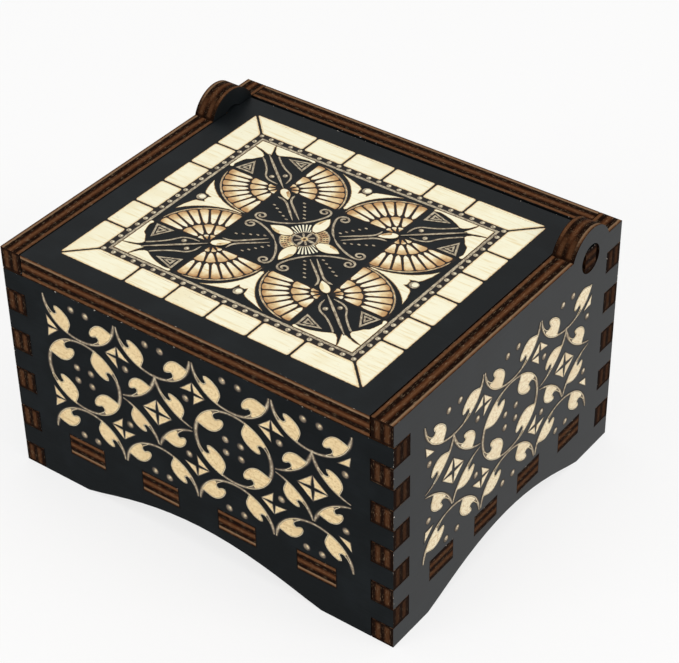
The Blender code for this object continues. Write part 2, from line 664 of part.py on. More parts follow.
def gear_outline(teeth, module, centre, phase):
    """A spur gear's outline, with one tooth centred on the phase angle."""
    pitch_radius = teeth * module / 2
    base_radius = pitch_radius * math.cos(PRESSURE_ANGLE)
    half_tooth = math.pi / (2 * teeth) * (1 - BACKLASH)
    root, tip = pitch_radius - DEDENDUM * module, pitch_radius + ADDENDUM * module
    flank = []
    for radius in (root, pitch_radius, tip):
        roll = math.acos(min(1.0, base_radius / radius))
        flank.append((radius, half_tooth + involute(PRESSURE_ANGLE) - involute(roll)))
    points = []
    for tooth in range(teeth):
        middle = phase + 2 * math.pi * tooth / teeth
        sides = [(radius, middle - spread) for radius, spread in flank]
        sides += [(radius, middle + spread) for radius, spread in reversed(flank)]
        for radius, angle in sides:
            across = centre[0] + radius * math.cos(angle)
            points.append((across, centre[1] + radius * math.sin(angle)))
    return points


def crown_wheel():
    """The ring of upright teeth on the barrel that drives the cylinder's pinion."""
    inner, outer = CROWN_RADIUS - CROWN_FACE, CROWN_RADIUS
    half_pitch_width = math.pi / (2 * CROWN_TEETH) * (1 - BACKLASH)
    slope = math.tan(PRESSURE_ANGLE) / CROWN_PITCH_RADIUS
    root_half = half_pitch_width + (CROWN_PITCH_Z - CROWN_ROOT_Z) * slope
    tip_half = half_pitch_width - (CROWN_TIP_Z - CROWN_PITCH_Z) * slope
    stations = [(-root_half, CROWN_ROOT_Z), (-tip_half, CROWN_TIP_Z)]
    stations += [(tip_half, CROWN_TIP_Z), (root_half, CROWN_ROOT_Z)]
    form = bmesh.new()
    sections = []
    for tooth in range(CROWN_TEETH):
        for offset, height in stations:
            angle = 2 * math.pi * tooth / CROWN_TEETH + offset
            corners = [(inner, CROWN_BOTTOM_Z), (outer, CROWN_BOTTOM_Z), (outer, height), (inner, height)]
            section = []
            for radius, z in corners:
                x = BARREL_X + radius * math.cos(angle)
                y = CYLINDER_AXIS_Y + radius * math.sin(angle)
                section.append(form.verts.new((x, y, z)))
            sections.append(section)
    for section, following in zip(sections, sections[1:] + sections[:1]):
        for corner in range(4):
            beside = (corner + 1) % 4
            form.faces.new([section[corner], section[beside], following[beside], following[corner]])
    return add_object("crown_wheel", form)


def spring_barrel():
    """The cup that holds the mainspring, with a rebate for its cover and a seat for the crown wheel."""
    seat = CROWN_BOTTOM_Z - SEAT_GAP
    hub = WINDING_ARBOR_RADIUS + RUNNING_GAP
    lip = BARREL_INNER_RADIUS + BARREL_SHELL / 2
    floor = BARREL_BOTTOM_Z + BARREL_SHELL
    ledge = COVER_BOTTOM_Z - SEAT_GAP
    flange, outer, inner = CROWN_RADIUS, BARREL_OUTER_RADIUS, BARREL_INNER_RADIUS
    profile = [(hub, BARREL_BOTTOM_Z), (flange, BARREL_BOTTOM_Z)]
    profile += [(flange, BARREL_BOTTOM_Z + SHEET), (outer, BARREL_BOTTOM_Z + SHEET)]
    profile += [(outer, seat - SHEET), (flange, seat - SHEET), (flange, seat), (outer, seat)]
    profile += [(outer, CROWN_ROOT_Z), (lip, CROWN_ROOT_Z), (lip, ledge), (inner, ledge)]
    profile += [(inner, floor), (hub, floor)]
    return lathe("spring_barrel", profile, "Z", (BARREL_X, CYLINDER_AXIS_Y), FINE)


def barrel_cover():
    """The disc that closes the barrel, dished in a shallow ring."""
    rim = BARREL_INNER_RADIUS + BARREL_SHELL / 2 - PRESS_GAP
    hub = WINDING_ARBOR_RADIUS + RUNNING_GAP
    dish = COVER_TOP_Z - COVER_THICKNESS / 3
    profile = [(hub, COVER_BOTTOM_Z), (rim, COVER_BOTTOM_Z), (rim, COVER_TOP_Z)]
    profile += [(COVER_DISH_OUTER, COVER_TOP_Z), (COVER_DISH_OUTER - COVER_DISH_SLOPE, dish)]
    profile += [(COVER_DISH_INNER + COVER_DISH_SLOPE, dish), (COVER_DISH_INNER, COVER_TOP_Z)]
    profile += [(hub, COVER_TOP_Z)]
    return lathe("barrel_cover", profile, "Z", (BARREL_X, CYLINDER_AXIS_Y), FINE)


def mainspring():
    """The coiled strip between the arbor's core and the barrel's shell."""
    start = SPRING_CORE_RADIUS + RUNNING_GAP + SPRING_STRIP
    end = BARREL_INNER_RADIUS - RUNNING_GAP - SPRING_STRIP
    steps = SPRING_TURNS * COARSE
    middle = []
    for step in range(steps + 1):
        radius = start + (end - start) * step / steps
        middle.append((radius, 2 * math.pi * step / COARSE))
    outline = []
    for side, points in ((SPRING_STRIP / 2, middle), (-SPRING_STRIP / 2, middle[::-1])):
        for radius, angle in points:
            across = BARREL_X + (radius + side) * math.cos(angle)
            outline.append((across, CYLINDER_AXIS_Y + (radius + side) * math.sin(angle)))
    low = BARREL_BOTTOM_Z + BARREL_SHELL + SEAT_GAP
    return prism("mainspring", outline, "Z", low, COVER_BOTTOM_Z - SEAT_GAP)


def winding_arbor():
    """The arbor that the key turns: it carries the mainspring's inner end and the ratchet wheel."""
    thin, core = WINDING_ARBOR_RADIUS, SPRING_CORE_RADIUS
    low = KEY_BOTTOM + KEY_WING_HEIGHT / 2
    core_low = BARREL_BOTTOM_Z + BARREL_SHELL + SEAT_GAP
    core_high = COVER_BOTTOM_Z - SEAT_GAP
    top = WINDING_ARBOR_TOP_Z
    profile = [(0, low), (thin, low), (thin, core_low), (core, core_low), (core, core_high)]
    profile += [(thin, core_high), (thin, top - thin / 3), (thin * 2 / 3, top), (0, top)]
    return lathe("winding_arbor", profile, "Z", (BARREL_X, CYLINDER_AXIS_Y), ROUND)


def ratchet_wheel():
    """The saw-toothed wheel on top of the winding arbor."""
    centre = (BARREL_X, CYLINDER_AXIS_Y)
    outline = []
    for tooth in range(RATCHET_TEETH):
        angle = 2 * math.pi * tooth / RATCHET_TEETH
        for radius, lean in ((RATCHET_RADIUS - RATCHET_TOOTH, 0), (RATCHET_RADIUS, RATCHET_LEAN)):
            across = centre[0] + radius * math.cos(angle + lean)
            outline.append((across, centre[1] + radius * math.sin(angle + lean)))
    wheel = prism("ratchet_wheel", outline, "Z", RATCHET_BOTTOM_Z, RATCHET_TOP_Z)
    hole = bore("Z", centre, WINDING_ARBOR_RADIUS + PRESS_GAP, BRIDGE_TOP_Z, WINDING_ARBOR_TOP_Z)
    return cut(wheel, hole)


def ellipse(centre, half_x, half_z, steps):
    """Points round an ellipse."""
    angles = [2 * math.pi * step / steps for step in range(steps)]
    return [(centre[0] + half_x * math.cos(a), centre[1] + half_z * math.sin(a)) for a in angles]


def winding_key():
    """The butterfly key: a threaded hub between two pierced wings."""
    y_low = CYLINDER_AXIS_Y - KEY_WING_THICKNESS / 2
    y_high = y_low + KEY_WING_THICKNESS
    half_height = KEY_WING_HEIGHT / 2
    middle_z = KEY_BOTTOM + half_height
    socket = WINDING_ARBOR_RADIUS + PRESS_GAP
    half_wing = (KEY_SPAN / 2 - (KEY_HUB_RADIUS + socket) / 2) / 2
    hub_low = KEY_BOTTOM + half_height / 3
    profile = [(0, hub_low), (KEY_HUB_RADIUS - KEY_HUB_CHAMFER, hub_low)]
    profile += [(KEY_HUB_RADIUS, hub_low + 2 * KEY_HUB_CHAMFER)]
    profile += [(KEY_HUB_RADIUS, KEY_HUB_TOP_Z), (socket, KEY_HUB_TOP_Z)]
    profile += [(socket, middle_z - SEAT_GAP), (0, middle_z - SEAT_GAP)]
    centre = (BARREL_X, CYLINDER_AXIS_Y)
    key = lathe("winding_key", profile, "Z", centre, ROUND)
    wings, eyes = [], []
    for side in (-1, 1):
        spot = (BARREL_X + side * (KEY_SPAN / 2 - half_wing), middle_z)
        wings.append(prism("wing", ellipse(spot, half_wing, half_height, ROUND), "Y", y_low, y_high))
        eye = ellipse((spot[0] + side * half_wing / 5, middle_z), half_wing / 2, half_height / 2, COARSE)
        eyes.append(prism("eye", eye, "Y", y_low - PLY, y_high + PLY))
    return cut(weld(key, *wings), *eyes)


def governor_heading():
    """The direction from the cylinder's axis to the governor's arbor, seen along +X."""
    return -GOVERNOR_DROP


def cylinder_arbor():
    """The cylinder's arbor, with the pinion that the crown wheel drives cut on it."""
    thin = CYLINDER_ARBOR_RADIUS
    left, right = BRIDGE_RIGHT_X - SHEET - SEAT_GAP, POST_RIGHT_X + SEAT_GAP
    profile = [(0, left), (thin, left), (thin, right), (0, right)]
    centre = (CYLINDER_AXIS_Y, AXIS_Z)
    arbor = lathe("cylinder_arbor", profile, "X", centre, ROUND)
    gap_down = -math.pi / 2 + math.pi / PINION_TEETH
    outline = gear_outline(PINION_TEETH, CROWN_MODULE, centre, gap_down)
    low = BARREL_X + CROWN_RADIUS - CROWN_FACE - SEAT_GAP
    high = BARREL_X + CROWN_RADIUS + SEAT_GAP
    return weld(arbor, prism("pinion", outline, "X", low, high))


def tune():
    """The notes of each step round the cylinder, as broken chords that climb and fall."""
    chords = [(0, 4, 7, 12), (2, 5, 9, 14), (4, 7, 11, 16), (5, 9, 12, 17), (3, 8, 11, 15), (1, 6, 10, 13)]
    beat = 3
    notes = []
    for step in range(PIN_STEPS):
        chord = [note % NOTES for note in chords[step // beat % len(chords)]]
        notes.append((step, chord[step % len(chord)]))
        if step % 2:
            notes.append((step, chord[-1 - step % len(chord)]))
        if step % beat == 0:
            notes.append((step, (chord[0] + step) % NOTES))
    return sorted(set(notes))


def cylinder():
    """The pinned cylinder. Each pin stands where a comb tooth's tip passes."""
    left, right = CYLINDER_LEFT_X, CYLINDER_RIGHT_X
    hub = CYLINDER_ARBOR_RADIUS + PRESS_GAP
    rim, boss, recess = CYLINDER_RADIUS - CYLINDER_RIM, CYLINDER_BOSS_RADIUS, CYLINDER_RECESS
    edge = CYLINDER_CHAMFER
    profile = [(hub, left), (boss, left), (boss, left + recess), (rim, left + recess), (rim, left)]
    profile += [(CYLINDER_RADIUS - edge, left), (CYLINDER_RADIUS, left + edge)]
    profile += [(CYLINDER_RADIUS, right - edge), (CYLINDER_RADIUS - edge, right)]
    profile += [(rim, right), (rim, right - recess), (boss, right - recess), (boss, right), (hub, right)]
    drum = lathe("cylinder", profile, "X", (CYLINDER_AXIS_Y, AXIS_Z), FINE)
    form = bmesh.new()
    length = PIN_HEIGHT + PIN_RADIUS
    for step, note in tune():
        x = COMB_LEFT_X + COMB_PITCH * (note + 0.5)
        turn = Matrix.Rotation(2 * math.pi * (step + 0.5) / PIN_STEPS, 4, "X")
        seat = Matrix.Translation((x, CYLINDER_AXIS_Y, AXIS_Z)) @ turn
        lift = Matrix.Translation((0, 0, PIN_CIRCLE - length / 2))
        bmesh.ops.create_cone(
            form, cap_ends=True, segments=PIN_SIDES, radius1=PIN_RADIUS, radius2=PIN_TIP_RADIUS,
            depth=length, matrix=seat @ lift,
        )
    return weld(drum, add_object("pins", form))


def spoked_wheel(name, outline, centre, root_radius, low, high, hole):
    """A wheel on the X axis with windows between its spokes and a hole for its arbor."""
    wheel = prism(name, outline, "X", low, high)
    over = high - low
    cutters = [bore("X", centre, hole, low - over, high + over)]
    inner, outer = WHEEL_HUB_RADIUS, root_radius - WHEEL_RIM
    share = 2 * math.pi / SPOKES
    half_spoke_out = SPOKE_WIDTH / 2 / outer
    half_spoke_in = SPOKE_WIDTH / 2 / inner
    for index in range(SPOKES):
        start, end = index * share, (index + 1) * share
        window = arc(centre, outer, start + half_spoke_out, end - half_spoke_out, 4)
        window += arc(centre, inner, end - half_spoke_in, start + half_spoke_in, 2)
        cutters.append(prism("window", window, "X", low - over, high + over))
    return cut(wheel, *cutters)


def great_wheel():
    """The wheel on the cylinder's arbor that drives the governor."""
    centre = (CYLINDER_AXIS_Y, AXIS_Z)
    outline = gear_outline(GREAT_WHEEL_TEETH, WHEEL_MODULE, centre, governor_heading())
    root = GREAT_WHEEL_PITCH_RADIUS - DEDENDUM * WHEEL_MODULE
    hole = CYLINDER_ARBOR_RADIUS + PRESS_GAP
    low, high = GREAT_WHEEL_LEFT_X, GREAT_WHEEL_RIGHT_X
    return spoked_wheel("great_wheel", outline, centre, root, low, high, hole)


def comb():
    """The tuned comb: teeth of falling length, with tuning weights under the lowest ones."""
    outline = [(COMB_LEFT_X, COMB_BACK_Y), (COMB_RIGHT_X, COMB_BACK_Y)]
    half = (COMB_PITCH - COMB_SLOT) / 2
    half_tip = half * TOOTH_TAPER
    for note in reversed(range(NOTES)):
        middle = COMB_LEFT_X + COMB_PITCH * (note + 0.5)
        length = BASS_TOOTH_LENGTH + (TREBLE_TOOTH_LENGTH - BASS_TOOTH_LENGTH) * note / (NOTES - 1)
        root = COMB_TIP_Y - length
        outline += [(middle + half, root), (middle + half_tip, COMB_TIP_Y)]
        outline += [(middle - half_tip, COMB_TIP_Y), (middle - half, root)]
    outline[2] = (COMB_RIGHT_X, outline[2][1])
    outline[-1] = (COMB_LEFT_X, outline[-1][1])
    low = COMB_TOP_Z - TOOTH_THICKNESS
    plate = prism("comb", outline, "Z", low, COMB_TOP_Z)
    base_low = COMB_TOP_Z - COMB_THICKNESS
    base_y = COMB_TIP_Y - BASS_TOOTH_LENGTH - COMB_SLOT
    inside = low + TOOTH_THICKNESS / 2
    pieces = [box("base", (COMB_LEFT_X, COMB_BACK_Y, base_low), (COMB_RIGHT_X, base_y, inside))]
    weight_back = COMB_TIP_Y - WEIGHT_START
    weight_front = weight_back - WEIGHT_LENGTH
    for note in range(WEIGHTED_TEETH):
        middle = COMB_LEFT_X + COMB_PITCH * (note + 0.5)
        drop = (WEIGHTED_TEETH - note) * WEIGHT_STEP
        low_corner = (middle - WEIGHT_WIDTH / 2, weight_front, low - drop)
        pieces.append(box("weight", low_corner, (middle + WEIGHT_WIDTH / 2, weight_back, inside)))
    weld(plate, *pieces)
    holes = [screw_hole(spot, base_low - PLY, COMB_TOP_Z + PLY) for spot in comb_screw_places()]
    return cut(plate, *holes)


def governor_frame():
    """The governor's frame: a foot, two cheeks for the wheel's arbor and an arm over the worm."""
    left, right = GOVERNOR_LEFT_X, GOVERNOR_RIGHT_X
    front, back = GOVERNOR_FRONT_Y, GOVERNOR_BACK_Y
    sheet = GOVERNOR_PLATE
    arm_front = WORM_Y - BRAKE_RADIUS
    frame = box("governor_frame", (left, front, FOOT_BOTTOM_Z), (right, back, FOOT_TOP_Z))
    cheek = [(front, FOOT_BOTTOM_Z), (back, FOOT_BOTTOM_Z), (back, TOP_ARM_TOP_Z)]
    cheek += [(arm_front, TOP_ARM_TOP_Z), (front, GOVERNOR_Z + GOVERNOR_PINION_RADIUS)]
    weld(
        frame,
        prism("left_cheek", cheek, "X", left, left + sheet),
        prism("right_cheek", cheek, "X", right - sheet, right),
        box("arm", (left, arm_front, TOP_ARM_BOTTOM_Z), (right, back, TOP_ARM_TOP_Z)),
    )
    arbor_hole = GOVERNOR_ARBOR_RADIUS + RUNNING_GAP
    lever_hole = SCREW_RADIUS + RUNNING_GAP
    pivot_hole = WORM_PIVOT_RADIUS + RUNNING_GAP
    worm_axis, lever_axis = (WORM_X, WORM_Y), (LEVER_PIVOT_Y, LEVER_PIVOT_Z)
    below, above = FOOT_BOTTOM_Z - sheet, FOOT_TOP_Z + sheet
    holes = [bore("X", (GOVERNOR_Y, GOVERNOR_Z), arbor_hole, left - sheet, right + sheet)]
    holes.append(bore("X", lever_axis, lever_hole, left - sheet, left + 2 * sheet, COARSE))
    holes.append(bore("Z", worm_axis, pivot_hole, below, TOP_ARM_TOP_Z + sheet, COARSE))
    holes += [screw_hole(spot, below, above) for spot in governor_screw_places()]
    return cut(frame, *holes)


def governor_arbor():
    """The governor's arbor, with the pinion that the great wheel drives."""
    centre = (GOVERNOR_Y, GOVERNOR_Z)
    left, right = GOVERNOR_LEFT_X, GOVERNOR_RIGHT_X
    arbor = rod("governor_arbor", "X", centre, GOVERNOR_ARBOR_RADIUS, left, right, COARSE)
    gap_back = governor_heading() + math.pi + math.pi / GOVERNOR_PINION_TEETH
    outline = gear_outline(GOVERNOR_PINION_TEETH, WHEEL_MODULE, centre, gap_back)
    low, high = GREAT_WHEEL_LEFT_X - SEAT_GAP, GREAT_WHEEL_RIGHT_X + SEAT_GAP
    return weld(arbor, prism("pinion", outline, "X", low, high))


def worm_wheel():
    """The wheel that drives the worm. Its teeth lean by the worm's lead."""
    centre = (GOVERNOR_Y, GOVERNOR_Z)
    low, high = WORM_WHEEL_LEFT_X, WORM_WHEEL_RIGHT_X
    lean = WORM_LEAD / (2 * math.pi * WORM_PITCH_RADIUS)
    twist = lean * (high - low) / WORM_WHEEL_RADIUS
    outline = gear_outline(WORM_WHEEL_TEETH, WHEEL_MODULE, centre, -twist / 2)
    wheel = prism("worm_wheel", outline, "X", low, high, twist, centre)
    over = high - low
    hole = GOVERNOR_ARBOR_RADIUS + PRESS_GAP
    return cut(wheel, bore("X", centre, hole, low - over, high + over, COARSE))


def worm_thread():
    """The worm's thread: one ridge wound round the shaft, its gap facing the wheel's tooth."""
    core = WORM_PITCH_RADIUS - DEDENDUM * WHEEL_MODULE
    root, tip = core - THREAD_SEAT, WORM_TIP_RADIUS
    half_pitch_width = WORM_LEAD / 4 * (1 - BACKLASH)
    slope = math.tan(PRESSURE_ANGLE)
    root_half = half_pitch_width + (WORM_PITCH_RADIUS - root) * slope
    tip_half = half_pitch_width - (tip - WORM_PITCH_RADIUS) * slope
    ridge = [(root, -root_half), (tip, -tip_half), (tip, tip_half), (root, root_half)]
    form = bmesh.new()
    sections = []
    steps = WORM_TURNS * TINY
    for step in range(steps + 1):
        turns = step / TINY - (WORM_TURNS + 1) / 2
        angle = -math.pi / 2 + 2 * math.pi * turns
        height = GOVERNOR_Z + WORM_LEAD * (turns + 0.5)
        section = []
        for radius, offset in ridge:
            x = WORM_X + radius * math.cos(angle)
            y = WORM_Y + radius * math.sin(angle)
            section.append(form.verts.new((x, y, height + offset)))
        sections.append(section)
    for section, following in zip(sections, sections[1:]):
        for corner in range(4):
            beside = (corner + 1) % 4
            form.faces.new([section[corner], section[beside], following[beside], following[corner]])
    form.faces.new(sections[0])
    form.faces.new(sections[-1])
    return add_object("thread", form)


def worm():
    """The worm: a threaded shaft between two fine pivots, with the brake disc on top."""
    pivot = WORM_PIVOT_RADIUS
    core = WORM_PITCH_RADIUS - DEDENDUM * WHEEL_MODULE
    profile = [(0, FOOT_BOTTOM_Z), (pivot, FOOT_BOTTOM_Z), (pivot, FOOT_TOP_Z + SEAT_GAP)]
    profile += [(core, FOOT_TOP_Z + END_GAP), (core, TOP_ARM_BOTTOM_Z - END_GAP)]
    profile += [(pivot, TOP_ARM_BOTTOM_Z - SEAT_GAP), (pivot, BRAKE_BOTTOM_Z)]
    profile += [(BRAKE_RADIUS, BRAKE_BOTTOM_Z), (BRAKE_RADIUS, BRAKE_TOP_Z), (pivot, BRAKE_TOP_Z)]
    profile += [(pivot, FLY_TOP_Z), (0, FLY_TOP_Z)]
    return weld(lathe("worm", profile, "Z", (WORM_X, WORM_Y), TINY), worm_thread())


def fly():
    """The two-bladed fly that brakes the movement against the air."""
    centre = (WORM_X, WORM_Y)
    low = BRAKE_TOP_Z + SEAT_GAP
    hub = rod("fly", "Z", centre, FLY_HUB_RADIUS, low, FLY_TOP_Z, COARSE)
    outline = []
    for side in (1, -1):
        tip, root = side * FLY_RADIUS, side * FLY_HUB_RADIUS / 2
        half = side * FLY_BLADE / 2
        outline += [(WORM_X + tip, WORM_Y - half), (WORM_X + tip, WORM_Y)]
        outline += [(WORM_X + root, WORM_Y + half), (WORM_X - root, WORM_Y + half)]
    weld(hub, prism("blades", outline, "Z", FLY_BOTTOM_Z, FLY_TOP_Z))
    hole = WORM_PIVOT_RADIUS + PRESS_GAP
    return cut(hub, bore("Z", centre, hole, low - SHEET, FLY_TOP_Z + SHEET, COARSE))


def stop_lever():
    """The stop lever: the lid holds its long arm down, and its finger brakes the worm's disc."""
    pivot = (LEVER_PIVOT_Y, LEVER_PIVOT_Z)
    tip_z = LID_UNDERSIDE - LEVER_LID_GAP - LEVER_TIP_RADIUS
    tip = (LEVER_PIVOT_Y - LEVER_TIP_REACH, tip_z)
    finger_z = (BRAKE_BOTTOM_Z + BRAKE_TOP_Z) / 2
    finger = (FINGER_Y_NEAR + LEVER_THICKNESS / 2, finger_z - LEVER_THICKNESS / 4)
    long_arm = tapered_bar(pivot, LEVER_BOSS, tip, LEVER_TIP_RADIUS)
    short_arm = tapered_bar(pivot, LEVER_HEEL_RADIUS, finger, LEVER_THICKNESS / 2)
    lever = prism("stop_lever", long_arm, "X", LEVER_LEFT_X, LEVER_RIGHT_X)
    half = BRAKE_THICKNESS / 2 - SEAT_GAP / 2
    finger_low = (LEVER_LEFT_X + LEVER_THICKNESS / 2, FINGER_Y_NEAR, finger_z - half)
    finger_high = (WORM_X + LEVER_THICKNESS / 2, FINGER_Y_NEAR + LEVER_THICKNESS, finger_z + half)
    weld(
        lever,
        prism("short_arm", short_arm, "X", LEVER_LEFT_X, LEVER_RIGHT_X),
        box("finger", finger_low, finger_high),
    )
    low, high = LEVER_LEFT_X - SHEET, LEVER_RIGHT_X + SHEET
    return cut(lever, bore("X", pivot, SCREW_RADIUS + RUNNING_GAP, low, high, COARSE))


def lever_pin():
    """The shouldered pin that the stop lever turns on."""
    left = LEVER_LEFT_X - SEAT_GAP
    head = left - SCREW_HEAD_HEIGHT
    right = GOVERNOR_LEFT_X + GOVERNOR_PLATE
    shank, cap = SCREW_RADIUS, SCREW_HEAD_RADIUS
    profile = [(0, head), ((shank + cap) / 2, head), (cap, head + SCREW_SLOT), (cap, left)]
    profile += [(shank, left), (shank, right), (0, right)]
    return lathe("lever_pin", profile, "X", (LEVER_PIVOT_Y, LEVER_PIVOT_Z), COARSE)


def material(name, colour, roughness, metallic=0.0):
    """A plain Principled material."""
    finish = bpy.data.materials.new(name)
    finish.use_nodes = True
    shader = finish.node_tree.nodes["Principled BSDF"]
    shader.inputs["Base Color"].default_value = (*colour, 1.0)
    shader.inputs["Roughness"].default_value = roughness
    shader.inputs["Metallic"].default_value = metallic
    return finish


def dress(finish, *things):
    """Give objects a material, and smooth shading with crisp edges."""
    for thing in things:
        thing.data.materials.clear()
        thing.data.materials.append(finish)
        thing.data.shade_smooth()
        thing.data.set_sharp_from_angle(angle=math.radians(35))


def hang(name, point, *things):
    """Put the pieces of one moving body under an empty on its axis, with their origins there."""
    pivot = bpy.data.objects.new(name, None)
    pivot.location = point
    pivot.empty_display_size = PLY
    bpy.context.scene.collection.objects.link(pivot)
    for thing in things:
        thing.data.transform(Matrix.Translation(-Vector(point)))
        thing.parent = pivot


def build_case():
    """The four walls, the floor and the lid."""
    painted = material("painted_plywood", (0.012, 0.013, 0.016), 0.45)
    front_top = LID_UNDERSIDE - SEAT_GAP
    walls = [
        long_wall("front_wall", -BOX_DEPTH / 2, front_top),
        long_wall("back_wall", BOX_DEPTH / 2, WALL_HEIGHT),
        side_wall("left_wall", -BOX_LENGTH / 2),
        side_wall("right_wall", BOX_LENGTH / 2),
    ]
    cover = lid()
    dress(painted, *walls, floor_panel(), cover)
    hang("lid_axis", (0, HINGE_Y, HINGE_Z), cover)


def build_screws(steel):
    """Every screw of the movement."""
    screws = []
    for index, spot in enumerate(bed_screw_places()):
        end = BED_TOP - SEAT_GAP
        screws.append(screw(f"bed_screw_{index + 1}", spot, FLOOR_UNDERSIDE, end, head_up=False))
    for index, spot in enumerate(bridge_screw_places()):
        seat = BED_TOP + SEAT_GAP + SHEET
        screws.append(screw(f"bridge_screw_{index + 1}", spot, seat, BED_BOTTOM + SEAT_GAP))
    for index, spot in enumerate(governor_screw_places()):
        screws.append(screw(f"governor_screw_{index + 1}", spot, FOOT_TOP_Z, BED_BOTTOM + SEAT_GAP))
    for index, spot in enumerate(comb_screw_places()):
        end = COMB_TOP_Z - COMB_THICKNESS - COMB_SCREW_LENGTH
        screws.append(screw(f"comb_screw_{index + 1}", spot, COMB_TOP_Z, end))
    under_bridge = BRIDGE_UNDERSIDE_Z
    screws.append(screw("click_screw", click_pivot(), RATCHET_TOP_Z, under_bridge))
    spring_top = RATCHET_TOP_Z - CLICK_SPRING_DROP
    screws.append(screw("click_spring_screw", click_spring_foot(), spring_top, under_bridge))
    dress(steel, *screws)


def build_movement():
    """The fixed frame of the movement and the five bodies that turn in it."""
    brass = material("brass", (0.72, 0.52, 0.22), 0.3, 1.0)
    steel = material("steel", (0.55, 0.56, 0.58), 0.32, 1.0)
    spring_steel = material("spring_steel", (0.32, 0.34, 0.38), 0.35, 1.0)
    casting = material("zinc_casting", (0.62, 0.56, 0.42), 0.42, 1.0)
    plastic = material("fly_plastic", (0.85, 0.84, 0.8), 0.4)
    bridge, frame = barrel_bridge(), governor_frame()
    pawl, leaf, tuned = click(), click_spring(), comb()
    key, arbor, ratchet = winding_key(), winding_arbor(), ratchet_wheel()
    cup, cover, crown, spring = spring_barrel(), barrel_cover(), crown_wheel(), mainspring()
    drum, drum_arbor, wheel = cylinder(), cylinder_arbor(), great_wheel()
    slow_arbor, slow_wheel = governor_arbor(), worm_wheel()
    threaded, blades = worm(), fly()
    lever, pin = stop_lever(), lever_pin()
    dress(casting, bedplate())
    dress(steel, bridge, frame, arbor, ratchet, drum_arbor, slow_arbor, threaded, pin, pawl, tuned)
    dress(spring_steel, spring, leaf, lever)
    dress(brass, key, cup, cover, crown, drum, wheel, slow_wheel)
    dress(plastic, blades)
    build_screws(steel)
    hang("winding_axis", (BARREL_X, CYLINDER_AXIS_Y, 0), key, arbor, ratchet)
    hang("barrel_axis", (BARREL_X, CYLINDER_AXIS_Y, 0), cup, cover, crown, spring)
    hang("cylinder_axis", (0, CYLINDER_AXIS_Y, AXIS_Z), drum, drum_arbor, wheel)
    hang("governor_axis", (0, GOVERNOR_Y, GOVERNOR_Z), slow_arbor, slow_wheel)
    hang("worm_axis", (WORM_X, WORM_Y, 0), threaded, blades)
    hang("lever_axis", (0, LEVER_PIVOT_Y, LEVER_PIVOT_Z), lever)


def main():
    """Clear the scene and build the music box."""
    for thing in list(bpy.data.objects):
        bpy.data.objects.remove(thing)
    build_case()
    build_movement()


main()
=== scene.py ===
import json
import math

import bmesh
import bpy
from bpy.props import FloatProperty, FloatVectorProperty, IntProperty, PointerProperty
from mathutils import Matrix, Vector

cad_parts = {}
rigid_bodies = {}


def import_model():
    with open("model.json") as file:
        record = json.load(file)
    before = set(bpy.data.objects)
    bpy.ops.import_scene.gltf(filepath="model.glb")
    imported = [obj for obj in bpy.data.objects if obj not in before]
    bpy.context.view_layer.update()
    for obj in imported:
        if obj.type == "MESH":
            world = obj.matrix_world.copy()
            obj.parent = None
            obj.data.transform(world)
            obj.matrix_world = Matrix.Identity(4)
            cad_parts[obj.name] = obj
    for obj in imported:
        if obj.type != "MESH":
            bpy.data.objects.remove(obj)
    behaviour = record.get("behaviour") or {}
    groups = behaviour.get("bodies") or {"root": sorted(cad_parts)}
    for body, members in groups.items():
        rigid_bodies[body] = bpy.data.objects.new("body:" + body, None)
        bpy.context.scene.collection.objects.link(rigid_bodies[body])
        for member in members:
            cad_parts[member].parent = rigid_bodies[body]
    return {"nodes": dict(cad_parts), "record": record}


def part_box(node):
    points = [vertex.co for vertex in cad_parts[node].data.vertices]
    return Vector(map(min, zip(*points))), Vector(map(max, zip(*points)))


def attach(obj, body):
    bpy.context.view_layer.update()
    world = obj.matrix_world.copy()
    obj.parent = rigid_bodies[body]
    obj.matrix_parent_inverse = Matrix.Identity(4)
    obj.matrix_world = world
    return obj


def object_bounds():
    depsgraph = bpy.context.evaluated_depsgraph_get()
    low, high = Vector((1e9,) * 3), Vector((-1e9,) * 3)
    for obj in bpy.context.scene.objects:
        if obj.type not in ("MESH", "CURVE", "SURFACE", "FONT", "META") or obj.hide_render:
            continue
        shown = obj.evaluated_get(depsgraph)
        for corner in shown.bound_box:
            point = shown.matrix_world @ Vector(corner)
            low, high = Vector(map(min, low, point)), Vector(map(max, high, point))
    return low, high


bl_info = {
    "name": "Music Box Finish",
    "version": (1, 0, 0),
    "blender": (4, 5, 0),
    "location": "3D View > Sidebar > Music Box",
    "description": "Paints and burns the plywood case, finishes the clockwork, sets up a studio",
    "category": "Object",
}

for leftover in list(bpy.data.objects):
    bpy.data.objects.remove(leftover)
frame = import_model()
cad_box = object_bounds()

MM = 0.001
FINGERS = 11
LID_LOW, LID_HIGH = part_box("lid")
CASE_LOW, CASE_HIGH = cad_box
PLY = LID_HIGH.z - LID_LOW.z
JOINTS = {joint["name"]: joint for joint in frame["record"]["behaviour"]["joints"]}
HINGE = Vector(JOINTS["lid_hinge"]["pos_m"])
WHITE = (1.0, 1.0, 1.0)

CORNERS = ((-1, -1), (1, -1), (1, 1), (-1, 1))

# Plates of one number that overlap never share a plane: each of so many in a row stands a
# little higher than the last one, by this share of a step.
OWN_RISES = 24
OWN_RISE = 0.03

